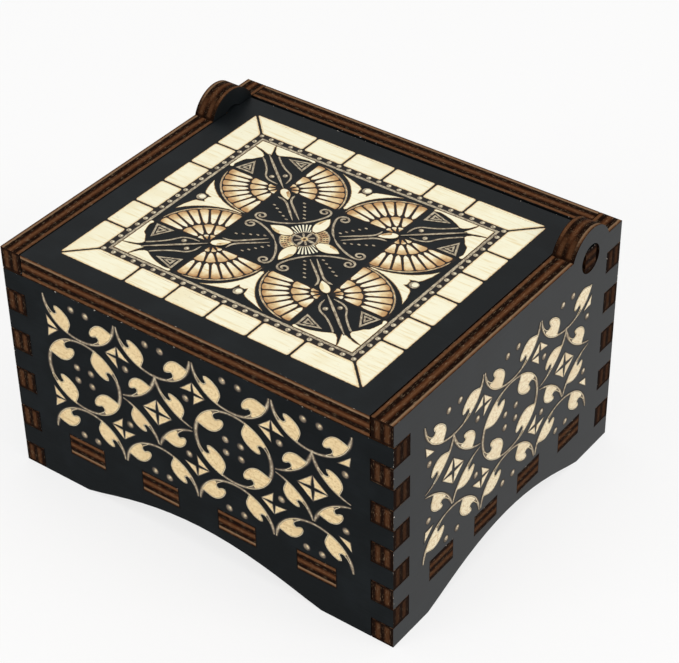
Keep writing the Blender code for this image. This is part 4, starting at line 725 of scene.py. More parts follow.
class Etching:
    """Flat shapes on one board, gathered and made into one mesh."""

    def __init__(self, board, along):
        self.board = board
        self.along = along
        self.sizes = bpy.context.scene.box_etching
        self.mesh = bmesh.new()
        self.finishes = []
        self.count = 0

    def loop(self, outline, height):
        """The corners of an outline at a height over the board."""
        return [self.mesh.verts.new(self.board(p.x, p.y, height)) for p in outline]

    def face(self, corners, finish):
        """One face with its finish."""
        if finish not in self.finishes:
            self.finishes.append(finish)
        self.mesh.faces.new(corners).material_index = self.finishes.index(finish)

    def heights(self, plate):
        """Top and bottom of a plate of that number, which has a small rise of its own."""
        own = (self.count % OWN_RISES) * self.sizes.step * OWN_RISE
        return self.sizes.lowest + plate * self.sizes.step + own, 0.25 * self.sizes.lowest

    def plate(self, outline, finish, plate):
        """A closed plate, as many steps high as its number."""
        if area(outline) < 0:
            outline = outline[::-1]
        self.count += 1
        high, low = self.heights(plate)
        top, bottom = self.loop(outline, high), self.loop(outline, low)
        self.face(top, finish)
        self.face(bottom[::-1], finish)
        for i in range(len(outline)):
            k = (i + 1) % len(outline)
            self.face((top[k], top[i], bottom[i], bottom[k]), finish)

    def skin(self, one, other, heights, quads, finish, flipped=False):
        """The four long faces of a plate between two lines of as many points."""
        high, low = heights
        sides = (one, high), (other, high), (other, low), (one, low)
        loops = [self.loop(line, height) for line, height in sides]
        for first, second in zip(loops, loops[1:] + loops[:1]):
            for i in range(quads):
                k = (i + 1) % len(first)
                corners = (first[i], first[k], second[k], second[i])
                self.face(corners[::-1] if flipped else corners, finish)
        return loops

    def strip(self, line, widths, finish, plate):
        """A plate along an open line, which may curl back beside itself."""
        self.count += 1
        outline = ribbon(line, widths)
        right, left = outline[:len(line)], outline[:len(line) - 1:-1]
        loops = self.skin(right, left, self.heights(plate), len(line) - 1, finish)
        self.face([loop[0] for loop in loops], finish)
        self.face([loop[-1] for loop in loops[::-1]], finish)

    def band(self, outer, inner, finish, plate):
        """A closed ring between two outlines of as many points."""
        heights = self.heights(plate)
        self.count += 1
        self.skin(outer, inner, heights, len(outer), finish, flipped=area(outer) < 0)

    def patch(self, outline, face="cream", rim="toast", level=0, ground=None, rim_width=1.0):
        """Bare wood with a toasted rim, on paint that is scorched round it.

        The scorch is the plate with the number ground, or the first of this level's three.
        """
        ground = level * 3 if ground is None else ground
        self.plate(offset(outline, self.sizes.outline), "scorch", ground)
        self.bare(outline, face, rim, level, rim_width)

    def bare(self, outline, face, rim, level, rim_width=1.0):
        """Bare wood with a toasted rim."""
        self.plate(outline, rim, level * 3 + 1)
        self.plate(offset(outline, -self.sizes.rim * rim_width), face, level * 3 + 2)

    def stroke(self, line, width, level=0, rim="line", core="line_light"):
        """A drawn line with a dark edge and a light middle."""
        widths = width if isinstance(width, list) else tapered(len(line), width)
        self.strip(line, [w + self.sizes.outline * 2 for w in widths], "scorch", level * 3)
        self.strip(line, widths, rim, level * 3 + 1)
        self.strip(line, [w * 0.5 for w in widths], core, level * 3 + 2)

    def bead(self, middle, diameter, level=0, rim="line", pale="line_light", shine="cream"):
        """A round dot that is drawn as a bead, light at its upper right."""
        radius, sides = diameter / 2, 14
        circle = arc((radius, radius), 0, 360 - 360 / sides, sides - 1)
        disc = [p + middle for p in circle]
        self.plate(offset(disc, self.sizes.outline), "scorch", level * 3)
        self.plate(disc, rim, level * 3 + 1)
        glow = middle + Vector((0.12, 0.14)) * radius
        self.plate([p * 0.64 + glow for p in circle], pale, level * 3 + 2)
        spot = middle + Vector((0.24, 0.28)) * radius
        self.plate([p * 0.3 + spot for p in circle[::2]], shine, level * 3 + 3)

    def build(self, name, body):
        """The finished piece, riding on its body."""
        data = bpy.data.meshes.new(name)
        self.mesh.to_mesh(data)
        self.mesh.free()
        for finish in self.finishes:
            data.materials.append(etching_finish(finish, self.along))
        piece = bpy.data.objects.new(name, data)
        bpy.context.scene.collection.objects.link(piece)
        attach(piece, body)


def lid_etching():
    """An etching on the lid's face."""
    return Etching(lambda x, y, height: Vector((x, y, LID_HIGH.z + height)), 0)


def on_side(sizes, sign, upright, points):
    """Points on the lid, each from its place along a side and how far out it lies."""
    placed = []
    for along, out in points:
        x, y = (sign * out, along) if upright else (along, sign * out)
        placed.append(Vector((x, y + sizes.centre_y)))
    return placed


def tile_outline(low, high, outer, inner, mitred, radius):
    """A border tile from low to high along its side. A mitred end slopes at the corner."""
    depth = outer - inner
    start, end = low + (depth if mitred[0] else 0), high - (depth if mitred[1] else 0)
    return rounded([(low, outer), (start, inner), (end, inner), (high, outer)], radius)


def field_reach(sizes):
    """Half the width and half the depth of the field inside the frame line."""
    inside = sizes.border + sizes.line_inset + sizes.frame_line * 0.7
    return Vector((sizes.border_x - inside, sizes.border_y - inside))


def add_tile(etch, sizes, low, high, outer, mitred, sign, upright):
    """One tile of the border, with a paler edge and a shaded line on the long sides."""
    inset, radius = sizes.tile_edge, sizes.tile_corner
    inner = outer - sizes.border
    outline = tile_outline(low, high, outer, inner, mitred, radius)
    etch.patch(on_side(sizes, sign, upright, outline), face="leaf_rim")
    slope = 1 + math.sqrt(2)
    low += inset * (slope if mitred[0] else 1)
    high -= inset * (slope if mitred[1] else 1)
    outline = tile_outline(low, high, outer - inset, inner + inset, mitred, radius * 0.7)
    etch.plate(on_side(sizes, sign, upright, outline), "cream", 3)
    if not upright:
        depth = outer - (1.6 * inset if sign > 0 else sizes.border - 1.6 * inset)
        low += sizes.border * (0.75 if mitred[0] and sign < 0 else 0.1)
        high -= sizes.border * (0.75 if mitred[1] and sign < 0 else 0.1)
        shade = on_side(sizes, sign, False, [(x, depth) for x in (low, (low + high) / 2, high)])
        widths = [sizes.tile_gap / 2 * part for part in (0.1, 0.6, 0.1)]
        etch.plate(ribbon(shade, widths), "cream_shade", 4)


def add_border(sizes):
    """Cream tiles with mitred corners round the picture."""
    etch = lid_etching()
    gap = sizes.tile_gap / 2
    for reach, outer, tile, upright in (
        (sizes.border_x, sizes.border_y, sizes.tile_x, False),
        (sizes.border_y, sizes.border_x, sizes.tile_y, True),
    ):
        seams = [-reach, -2 * tile, -tile, 0.0, tile, 2 * tile, reach]
        for sign in (-1, 1):
            for i, (low, high) in enumerate(zip(seams, seams[1:])):
                mitred = i == 0, i == len(seams) - 2
                low += gap * (1.5 if mitred[0] else 1)
                high -= gap * (1.5 if mitred[1] else 1)
                add_tile(etch, sizes, low, high, outer, mitred, sign, upright)
    etch.build("lid_border_tiles", "lid")


def add_beading(sizes):
    """A row of beads and a fine frame line inside the tiles."""
    etch = lid_etching()
    inner_x, inner_y = sizes.border_x - sizes.border, sizes.border_y - sizes.border

    def box_outline(inset):
        x, y = inner_x - inset, inner_y - inset
        return [Vector((sx * x, sy * y + sizes.centre_y)) for sx, sy in CORNERS]

    middle, half = sizes.line_inset, sizes.frame_line / 2
    for outer, inner, finish, plate in (
        (0.0, middle, "scorch", 0),
        (middle - half, middle + half, "line", 1),
        (middle - half * 0.5, middle + half * 0.5, "line_light", 2),
    ):
        etch.band(box_outline(outer), box_outline(inner), finish, plate)
    reach_x, reach_y = inner_x - sizes.bead_inset, inner_y - sizes.bead_inset
    across = round(2 * reach_x / sizes.bead_spacing)
    along = round(2 * reach_y / sizes.bead_spacing)
    for sign in (-1, 1):
        spots = [(reach_x * (2 * i / across - 1), sign * reach_y) for i in range(across + 1)]
        spots += [(sign * reach_x, reach_y * (2 * i / along - 1)) for i in range(1, along)]
        for x, y in spots:
            etch.bead(Vector((x, y + sizes.centre_y)), sizes.bead, level=1)
    etch.build("lid_beading", "lid")


def add_roundels(sizes):
    """Four roundels: two fans each, and a rod from the corner to the bulb."""
    def placing(sx, sy):
        """Turns a place in a roundel's radii, outward from its middle, into one on the lid."""
        def at(a, b):
            x = sx * (sizes.roundel_x + a * sizes.radius_x)
            y = sizes.centre_y + sy * (sizes.roundel_y + b * sizes.radius_y)
            return Vector((x, y))

        return at

    fans, rods = lid_etching(), lid_etching()
    for sx in (-1, 1):
        for sy in (-1, 1):
            add_fans(fans, sizes, placing(sx, sy))
            add_corner(rods, sizes, placing(sx, sy))
            add_scrolls(rods, sizes, placing(sx, sy))
    fans.build("lid_fans", "lid")
    rods.build("lid_scrolls", "lid")


def both_ways(at, sign):
    """Two placings that mirror each other across a roundel's diagonal."""
    return (
        lambda p: at(sign * p[0], sign * p[1]),
        lambda p: at(sign * p[1], sign * p[0]),
    )


def blade(start, end, low, high, gap):
    """One blade of a fan in a circle of radius 1, between two angles and two radii."""
    start, end = math.radians(start), math.radians(end)
    points = []
    for radius, depth, power in ((high, 0.022, 4), (low, -0.06, 2)):
        trim = math.asin(min(0.9, gap / 2 / radius))
        first, last = (start + trim, end - trim) if radius == high else (end - trim, start + trim)
        for i in range(9):
            across = i / 4 - 1
            angle = first + (last - first) * i / 8
            reach = radius - depth * abs(across) ** power
            points.append(Vector((reach * math.cos(angle), reach * math.sin(angle))))
    return points


def add_fans(etch, sizes, at):
    """The two fans of one roundel, beside the corner that holds the rod.

    Each ring has its count of blades, their inner and outer radius, gap and share of the rim.
    """
    ground = [Vector((-0.012, -0.012)), *arc((1.012, 1.012), 0, 90, 18)]
    rings = (
        (sizes.blades, 0.535, 0.955, 0.032, 1.0),
        (sizes.short_blades, 0.24, 0.515, 0.03, 1.0),
        (3, 0.1, 0.222, 0.024, 0.4),
    )
    for put in (
        lambda p: at(-BAR - p.x * (1 - BAR), p.y),
        lambda p: at(BAR + p.y * (1 - BAR), -p.x),
    ):
        etch.plate([put(p) for p in ground], "scorch", 0)
        for count, low, high, gap, rim in rings:
            for i in range(count):
                outline = blade(i * 90 / count, (i + 1) * 90 / count, low, high, gap)
                etch.bare([put(p) for p in outline], "fan", "fan_edge", 1, rim)
        ring = [put(p) for p in arc((0.982, 0.982), 3, 82, 20)]
        etch.stroke(ring, sizes.line * 0.8, level=1, core="toast")


def add_corner(etch, sizes, at):
    """The corner quarter of a roundel: rod, foot, corner leaves, waves, beads and triangles."""
    field = field_reach(sizes)
    edge_a = (field.x - sizes.roundel_x) / sizes.radius_x
    edge_b = (field.y - sizes.roundel_y) / sizes.radius_y
    side = curve(FOOT_SIDE, 3)
    upper = side + [Vector((edge_a, 0.81))]
    lower = [Vector((p.y, p.x)) for p in side if p.x < edge_b] + [Vector((0.8, edge_b))]
    foot = upper + [Vector((edge_a, edge_b))] + lower[::-1]
    etch.patch([at(p.x, p.y) for p in foot], rim="blush", level=3, rim_width=1.6)
    rod = [at(0.02 + 0.74 * i / 8, 0.02 + 0.72 * i / 8) for i in range(9)]
    etch.stroke(rod, sizes.line * 1.15, level=4)

    end = arc((0.033, 0.033), 90, 270, 5, (0.075, edge_b - 0.033))
    leaf = [Vector((0.80, edge_b)), *end, *arc((0.99, 0.99), 85, 53, 9)[1:]]
    leaf += [Vector((0.655, 0.80)), Vector((0.715, 0.86))]
    bead = 0.085 * (sizes.radius_x + sizes.radius_y) / 2
    middle = sum((Vector(p) for p in TRIANGLE), Vector((0, 0))) / 3
    for put, edge in zip(both_ways(at, 1), (edge_b, edge_a)):
        outline = [(p.x, p.y + edge - edge_b) if p.y > 0.9 else p for p in leaf]
        etch.patch([put(p) for p in outline], level=2)
        etch.stroke([put(p) for p in curve(WAVE)], sizes.line * 0.85, level=1)
        for i, size in enumerate((1.0, 0.69, 0.46, 0.2)):
            outline = [put(middle + (Vector(p) - middle) * size) for p in TRIANGLE]
            if i == 0:
                etch.patch(outline, face="line_light", rim="line", level=1)
            else:
                etch.plate(outline, "scorch" if i % 2 else "line_light", 5 + i)
        etch.bead(put(CORNER_BEAD), bead, level=1)


def scroll_end():
    """A spiral that leaves the ring of radius 1 and curls inward."""
    points = []
    steps = 24
    for i in range(steps + 1):
        t = i / steps
        angle = math.radians(10 - 480 * t)
        radius = 0.11 - 0.085 * t ** 0.8
        points.append(Vector((0.868 + radius * math.cos(angle), 0.165 + radius * math.sin(angle))))
    return points


def add_scrolls(etch, sizes, at):
    """The quarter towards the lid's middle: bulb, guide lines, dashes and the scrolled ring."""
    bulb = []
    for i in range(13):
        t = i / 12
        bulb.append((t * 0.235, 0.055 * math.sin(math.pi * t ** 0.75) ** 0.75))

    def along_rod(sides, width):
        return [at(-(s + w * width), -(s - w * width)) for s, w in sides]

    etch.patch(along_rod(bulb, 1) + along_rod(bulb[-2:0:-1], -1), level=6)
    etch.plate(along_rod(bulb[3:11], 0.86) + along_rod(bulb[9:3:-1], 0.2), "cream_shade", 21)
    scroll = scroll_end()[::-1] + arc((1.0, 1.0), 14, 45, 8)
    half = Vector((sizes.line * 0.75, sizes.line * 0.4))
    for put in both_ways(at, -1):
        etch.stroke([put(p) for p in scroll], sizes.line, level=1)
        etch.stroke([put(p) for p in curve(GUIDE)], sizes.line, level=1)
        for dash in DASHES:
            corners = [put(dash) + Vector((sx * half.x, sy * half.y)) for sx, sy in CORNERS]
            outline = rounded(corners, sizes.line * 0.35, 2)
            etch.patch(outline, face="line_light", rim="line", level=1)


def add_spandrels(sizes):
    """Pale horns between the roundels, each with a bead in a dark bracket."""
    etch = lid_etching()
    field = field_reach(sizes)
    for side, edge, roundel, radius_p, radius_q, upright in (
        (sizes.roundel_x, field.y, sizes.roundel_y, sizes.radius_x, sizes.radius_y, False),
        (sizes.roundel_y, field.x, sizes.roundel_x, sizes.radius_y, sizes.radius_x, True),
    ):
        half = []
        for i in range(17):
            t = i / 16
            angle = math.radians(8 + 56 * t)
            grown = 1.022 + 0.075 * t
            p = side - radius_p * grown * math.cos(angle)
            q = edge - roundel - radius_q * grown * math.sin(angle)
            half.append(Vector((p, q)))
        half = [Vector((max(p.x, HORN_TIP), p.y)) for p in half]
        right = [p for p in half if p.y > 0.25 * MM]
        right += [Vector((x * MM, y * MM)) for x, y in BRACKET]
        left = [Vector((-p.x, p.y)) for p in right]
        outline = [Vector((0.0, half[0].y + 0.3 * MM)), *right, *left[::-1]]
        for sign in (-1, 1):
            points = [(p.x, edge - p.y) for p in outline]
            etch.patch(on_side(sizes, sign, upright, points), rim_width=1.4)
            spot, = on_side(sizes, sign, upright, [(0.0, edge - 2.0 * MM)])
            etch.bead(spot, 1.5 * MM, level=1, pale="cream")
    etch.build("lid_spandrels", "lid")


def add_flower(sizes):
    """The flower in the middle: four combs, four petals and a spoked rosette."""
    etch = lid_etching()
    middle = Vector((0.0, sizes.centre_y))

    def at(radius, angle):
        return middle + Vector((math.cos(angle), math.sin(angle))) * radius

    def circle(radius, sides=24):
        return [at(radius, math.radians(360 / sides * i)) for i in range(sides)]

    etch.patch(circle(sizes.rosette * 1.32), face="blush", rim="line")
    for quarter in range(4):
        add_comb(etch, sizes, at, math.radians(45 + 90 * quarter), bright=quarter % 2 == 1)
    for quarter in range(4):
        add_petal(etch, sizes, middle, math.radians(90 * quarter))
    etch.plate(circle(sizes.rosette * 1.1), "line", 13)
    etch.plate(circle(sizes.rosette), "scorch", 14)
    for i in range(8):
        angle = math.radians(45 * i)
        far, width, finish = (0.86, 0.34, "line") if i % 2 else (0.97, 0.5, "line_light")
        reach = sizes.rosette * far
        spoke = [at(0.25 * MM, angle), at(reach * 0.75, angle), at(reach, angle)]
        etch.plate(ribbon(spoke, [0.22 * MM, width * MM, 0.26 * MM]), finish, 15)
    etch.plate(circle(0.52 * MM, 12), "toast", 16)
    etch.plate(circle(0.22 * MM, 12), "scorch", 17)
    etch.build("lid_flower", "lid")


def add_comb(etch, sizes, at, mid, bright):
    """A comb between two petals: bright with pale teeth, or dull with rows of dark marks."""
    spread = math.radians(33)
    root, reach = sizes.rosette * 1.08, sizes.comb_reach
    sector = [at(root, mid + spread * (i / 4 - 1)) for i in range(9)]
    sector += [at(reach, mid - spread * (i / 4 - 1)) for i in range(9)]
    etch.plate(offset(sector, 0.14 * MM), "scorch", 3)
    etch.plate(sector, "scorch" if bright else "blush", 4)
    if bright:
        inner, outer = root * 1.02, reach * 1.02
        for i in range(sizes.comb_teeth):
            angle = mid + spread * 0.93 * (2 * i / (sizes.comb_teeth - 1) - 1)
            tooth = [at(inner, angle), at((inner + outer) / 2, angle), at(outer, angle)]
            etch.plate(ribbon(tooth, [0.12 * MM, 0.2 * MM, 0.26 * MM]), "cream", 6)
        return
    for row in (0.3, 0.55, 0.8):
        radius = root + (reach - root) * row
        for i in range(7):
            angle = mid + spread * 0.9 * (i / 3 - 1)
            mark = [at(radius - 0.15 * MM, angle), at(radius + 0.15 * MM, angle)]
            etch.plate(ribbon(mark, 0.17 * MM), "scorch", 7)
    rim = [at(reach, mid + spread * (i / 5 - 1)) for i in range(11)]
    etch.plate(ribbon(rim, tapered(11, 0.16 * MM)), "line_light", 7)


def add_petal(etch, sizes, middle, angle):
    """One pale petal with a shaded side."""
    ahead = Vector((math.cos(angle), math.sin(angle)))
    aside = turned_left(ahead)
    base = sizes.rosette * 1.25
    sides = []
    for i in range(13):
        t = i / 12
        swell = math.sin(math.pi * min(1.0, 0.06 + 0.94 * t) ** 0.9) ** 0.85
        sides.append((base + (sizes.petal - base) * t, max(sizes.petal_width / 2 * swell, 0.0)))

    def edge(part, width):
        return [middle + ahead * d + aside * w * width for d, w in part]

    etch.patch(edge(sides, 1) + edge(sides[-2::-1], -1), level=3)
    etch.plate(edge(sides[5:12], 0.93) + edge(sides[10:5:-1], 0.45), "cream_shade", 12)


def turned(point, quarters):
    """A point turned clockwise by quarter turns."""
    for _ in range(quarters):
        point = Vector((point.y, -point.x))
    return point


class Wall:
    """One wall's pattern: rings with four leaves, and diamonds with a crossed square."""

    def __init__(self, board, along, pitch, columns, shift):
        self.sizes = bpy.context.scene.box_walls
        self.rings = Etching(board, along)
        self.leaves = Etching(board, along)
        self.pitch = pitch
        self.columns = columns
        self.first = shift - pitch * (len(columns) - 1) / 2
        self.radius = Vector((pitch * 0.512, self.sizes.pitch_z * 0.498))
        self.leaf = arc((1.0, 1.0), 108, 163, 9) + curve(LEAF_BACK, 3) + curve(LEAF_HOOK, 3)[1:]

    def on_ring(self, centre, point, half=False, squeeze=0.0):
        """A point given in a ring's radii, on the wall."""
        across = self.radius.x - (self.sizes.half_narrower if half else 0.0)
        length_squared = max(point.x ** 2 + point.y ** 2, 0.0001)
        bow = 1 - squeeze * 2 * abs(point.x * point.y) / length_squared
        return centre + Vector((point.x * across, point.y * self.radius.y)) * bow

    def line_width(self, point):
        """A ring is wider at its sides."""
        return self.sizes.line + self.sizes.line_swell * point.x ** 2

    def add_ring(self, centre):
        """A closed ring, scorched outside and light in the middle."""
        circle = arc((1, 1), 0, 354, 59)

        def edge(side, shrink, grow):
            points = []
            for p in circle:
                out = self.line_width(p) / 2 * (side * shrink - 1) + side * grow
                x, y = p.x * (self.radius.x + out), p.y * (self.radius.y + out)
                points.append(centre + Vector((x, y)))
            return points

        scorch = self.rings.sizes.outline
        for shrink, grow, finish, plate in (
            (1.0, scorch, "scorch", 3), (1.0, 0.0, "ring", 4), (0.5, 0.0, "ring_core", 5),
        ):
            outer, inner = (edge(side, shrink, grow) for side in (1, -1))
            self.rings.band(outer, inner, finish, plate)

    def add_arc(self, centre, start, end, half=False, squeeze=0.0):
        """Part of a ring, pointed at both ends."""
        points = arc((1, 1), start, end, max(8, round(abs(end - start) / 6)))
        inset = 1 - self.sizes.line / 2 / self.radius.x
        line = [self.on_ring(centre, p * inset, half, squeeze) for p in points]
        last = len(points) - 1
        widths = []
        for i, p in enumerate(points):
            widths.append(self.line_width(p) * min(1.0, 0.4 + 0.25 * min(i, last - i)))
        self.rings.stroke(line, widths, level=1, rim="ring", core="ring_core")

    def add_leaf(self, centre, quarters, size, half=False, squeeze=0.0):
        """The leaf in one quarter of a ring, counted clockwise from the upper left."""
        leaf = [LEAF_HELD + (p - LEAF_HELD) * size for p in self.leaf]
        outline = [self.on_ring(centre, turned(p, quarters), half, squeeze) for p in leaf]
        # The pale rim round the leaf is a painted highlight along its etched edge.
        self.leaves.patch(outline, face="ring", rim="leaf_rim", level=2, ground=3)
        blunt = outline[2:-3]
        self.leaves.plate(offset(blunt, -self.leaves.sizes.rim * 2.1), "leaf", 9)

    def add_square(self, centre, missing=None, keep=0, size=1.0):
        """A square of four facets with a dark cross between them, less one, or half of it."""
        reach = Vector((self.sizes.square_x, self.sizes.square_z)) * size
        inner, tip = self.sizes.cross / 2 * size, 0.07 * MM
        for sx, sz in CORNERS:
            if (sx, sz) == missing or keep * sx < 0:
                continue
            facet = ((inner, inner), (reach.x, tip), (tip, reach.y))
            outline = [centre + Vector((sx * x, sz * z)) for x, z in facet]
            self.leaves.patch(outline, face="leaf", rim="line", level=2, ground=3, rim_width=1.6)

    def add_dot(self, x, z):
        """One dot, duller than the beads on the lid."""
        self.leaves.bead(Vector((x, z)), self.sizes.dot, 0, "ring", "ring_core", "leaf")

    def add_dots(self, centre, sides=CORNERS):
        """Dots about the middle of a ring."""
        for sx, sz in sides:
            self.add_dot(centre.x + sx * DOT_X * MM, centre.y + sz * DOT_Z * MM)

    def add_cut_rings(self, middle, last):
        """The rings below and above a column's middle, cut by the feet and by the lid."""
        rise = Vector((0, self.sizes.pitch_z))
        below, above = middle - rise, middle + rise
        self.add_arc(below, 4, 176, half=True)
        at_ear = last and self.rings.along == 1
        self.add_arc(above, 184, 326 if at_ear else 356, half=True)
        for quarters, centre in ((0, below), (1, below), (2, above), (3, above)):
            self.add_leaf(centre, quarters, self.sizes.small_leaf, half=True)
        self.add_dots(below, CORNERS[:1:-1])
        self.add_dots(above, CORNERS[:2])

    def add_diamond(self, middle):
        """Four arcs that bow inward round a crossed square, with a leaf along each."""
        sizes = self.sizes
        self.add_square(middle)
        for sx, sz, start, quarters in (
            (-1, 1, 270, 2), (1, 1, 180, 3), (1, -1, 90, 0), (-1, -1, 0, 1),
        ):
            corner = middle + Vector((sx * self.pitch / 2, sz * sizes.pitch_z / 2))
            low, high = (4, 86) if sz < 0 else (4, 94) if sx < 0 else (-4, 86)
            self.add_arc(corner, start + low, start + high, squeeze=sizes.squeeze)
            self.add_leaf(corner, quarters, sizes.small_leaf, squeeze=sizes.squeeze)

    def add_rows(self):
        """The rings of all three rows, and the diamonds of the middle row."""
        for i, column in enumerate(self.columns):
            middle = Vector((self.first + self.pitch * i, self.sizes.middle_z))
            self.add_cut_rings(middle, i == len(self.columns) - 1)
            if column == "diamond":
                self.add_diamond(middle)
                continue
            self.add_ring(middle)
            for quarters in range(4):
                self.add_leaf(middle, quarters, self.sizes.leaf)
            self.add_dots(middle)

    def add_between(self):
        """Small crossed squares where four rings meet, with a dot towards each diamond."""
        aside = 0.35 * MM
        for i, (left, right) in enumerate(zip((None, *self.columns), (*self.columns, None))):
            x = self.first + self.pitch * (i - 0.5)
            for sz in (-1, 1):
                corner = Vector((x, self.sizes.middle_z + sz * self.sizes.pitch_z / 2))
                if sz > 0:
                    corner.y += aside
                missing = (-1, -sz) if left == "diamond" else None
                missing = (1, -sz) if right == "diamond" else missing
                keep = 1 if left is None else -1 if right is None else 0
                if keep:
                    corner.x += keep * aside
                self.add_square(corner, missing, keep, self.sizes.small_square)
                if missing:
                    self.add_dot(x + missing[0] * DOT_X * MM, corner.y - sz * 1.45 * MM)


WALLS = {
    "front_wall": (lambda u, v, h: Vector((u, CASE_LOW.y - h, v)), 0),
    "back_wall": (lambda u, v, h: Vector((-u, CASE_HIGH.y + h, v)), 0),
    "right_wall": (lambda u, v, h: Vector((CASE_HIGH.x + h, u, v)), 1),
    "left_wall": (lambda u, v, h: Vector((CASE_LOW.x - h, -u, v)), 1),
}


def metal(name, tones, rough, marks_scale, depth=0.004, metallic=1.0):
    """Metal that fades from a bright to a dull tone, with fine tool marks."""
    recipe = Recipe(name)
    place = recipe.place()
    marks = recipe.noise(place * marks_scale, detail=3.0, roughness=0.6)
    cloud = recipe.noise(place, 0.3, 3.0)
    return recipe.surface(
        Base_Color=recipe.mix(recipe.between(cloud * 0.6 + marks * 0.4, 0.4, 0.66), *tones),
        Metallic=metallic, Roughness=rough + marks * 0.18, Normal=recipe.bump(marks, depth),
    )


class BOX_OT_plywood(bpy.types.Operator):
    """Paint the case's boards and burn their cut edges"""

    bl_idname = "box.plywood"
    bl_label = "Plywood boards"

    def execute(self, context):
        matt, glossy = 0.02, 0.46
        # Whether the wall has the lowest finger, then the pitch and width of its floor tabs.
        front_joints, side_joints = (False, 14.25, 6.7), (True, 11.25, 5.75)
        for name, across, gloss, joints in (
            ("lid", 2, 0.33, None), ("floor_panel", 2, matt, None),
            ("front_wall", 1, matt, front_joints), ("back_wall", 1, matt, front_joints),
            ("right_wall", 0, glossy, side_joints), ("left_wall", 0, glossy, side_joints),
        ):
            dress(name, plywood(name, across, gloss, joints))
        return {"FINISHED"}


class BOX_OT_lid_border(bpy.types.Operator):
    """Lay the tiles, the beads and the frame line round the lid's picture"""

    bl_idname = "box.lid_border"
    bl_label = "Lid border"

    def execute(self, context):
        add_border(context.scene.box_lid)
        add_beading(context.scene.box_lid)
        return {"FINISHED"}


class BOX_OT_lid_roundels(bpy.types.Operator):
    """Draw the four roundels with their fans, rods and scrolls"""

    bl_idname = "box.lid_roundels"
    bl_label = "Lid roundels"

    def execute(self, context):
        add_roundels(context.scene.box_lid)
        return {"FINISHED"}


class BOX_OT_lid_middle(bpy.types.Operator):
    """Draw the horns between the roundels and the flower in the middle"""

    bl_idname = "box.lid_middle"
    bl_label = "Lid horns and flower"

    def execute(self, context):
        add_spandrels(context.scene.box_lid)
        add_flower(context.scene.box_lid)
        return {"FINISHED"}


class BOX_OT_walls(bpy.types.Operator):
    """Draw the rings, leaves, squares and dots on the four walls"""

    bl_idname = "box.walls"
    bl_label = "Wall pattern"

    def execute(self, context):
        sizes = context.scene.box_walls
        patterns = (
            (sizes.pitch_x, ("ring", "diamond", "ring", "diamond"), sizes.shift_x),
            (sizes.pitch_y, ("diamond", "ring", "diamond"), sizes.shift_y),
        )
        for name, (board, along) in WALLS.items():
            wall = Wall(board, along, *patterns[along])
            wall.add_rows()
            wall.add_between()
            wall.rings.build(name + "_rings", "root")
            wall.leaves.build(name + "_leaves", "root")
        return {"FINISHED"}


class BOX_OT_movement(bpy.types.Operator):
    """Finish the brass, steel, zinc and plastic of the clockwork"""

    bl_idname = "box.movement"
    bl_label = "Clockwork metals"

    def execute(self, context):
        finish = context.scene.box_movement
        made = {
            slot: metal(slot, (getattr(finish, bright), getattr(finish, dull)), *rest)
            for slot, bright, dull, *rest in (
                ("brass", "brass", "brass_dull", 0.24, (6.0, 0.6, 0.6)),
                ("steel", "steel", "steel_dull", 0.26, (0.5, 5.0, 5.0)),
                ("spring_steel", "spring_steel", "steel_dull", 0.3, (1.0, 5.0, 5.0)),
                ("zinc_casting", "zinc", "zinc_dull", 0.42, (1.6, 1.6, 1.6), 0.03),
                ("fly_plastic", "plastic", "plastic", 0.4, (2.0, 2.0, 2.0), 0.004, 0.0),
            )
        }
        for part in frame["record"]["subparts"]:
            if part["material_slot"] in made:
                dress(part["node"], made[part["material_slot"]])
        return {"FINISHED"}


class BOX_OT_studio(bpy.types.Operator):
    """Set up the pale floor, the soft lamps and the camera"""

    bl_idname = "box.studio"
    bl_label = "Studio"

    def execute(self, context):
        studio = context.scene.box_studio
        add_floor(studio)
        add_world(studio)
        add_lamp("key_light", studio.key, 0.4, (0.7, 0.1, 0.45))
        add_lamp("fill_light", studio.fill, 0.5, (-0.3, -0.8, 0.42))
        add_lamp("top_light", studio.top, 0.6, (0.15, -0.05, 0.85))
        add_camera(studio)
        context.scene.view_settings.view_transform = "Standard"
        return {"FINISHED"}


def add_floor(studio):
    """A wide pale floor just under the feet."""
    reach, level = 3.0, CASE_LOW.z - 0.05 * MM
    mesh = bpy.data.meshes.new("floor")
    mesh.from_pydata([(x * reach, y * reach, level) for x, y in CORNERS], [], [(0, 1, 2, 3)])
    floor = bpy.data.objects.new("floor", mesh)
    bpy.context.scene.collection.objects.link(floor)
    recipe = Recipe("pale_floor")
    haze = recipe.noise(recipe.place(), 0.01)
    colour = recipe.mix(haze * 0.3, studio.floor, tuple(c * 0.97 for c in studio.floor))
    mesh.materials.append(recipe.surface(studio.backdrop, Base_Color=colour, Roughness=0.8))


def add_world(studio):
    """Even light from all round, seen as white behind the object."""
    recipe = Recipe("studio", "worlds")
    seen = recipe.seen_by("Camera", "Transmission")
    inputs = {"Value": seen, "To Min": studio.sky, "To Max": 1.0}
    strength = recipe.node("ShaderNodeMapRange", inputs=inputs)
    light = recipe.node("ShaderNodeBackground", inputs={"Color": WHITE, "Strength": strength})
    recipe.node("ShaderNodeOutputWorld", inputs={"Surface": light}, output=None)
    bpy.context.scene.world = recipe.made


def add_lamp(name, watts, size, place):
    """A square softbox that looks at the object."""
    data = bpy.data.lights.new(name, "AREA")
    data.energy = watts
    data.size = size
    lamp = bpy.data.objects.new(name, data)
    lamp.location = place
    ahead = Vector((0, 0, 0.02)) - lamp.location
    lamp.rotation_euler = ahead.to_track_quat("-Z", "Y").to_euler()
    bpy.context.scene.collection.objects.link(lamp)


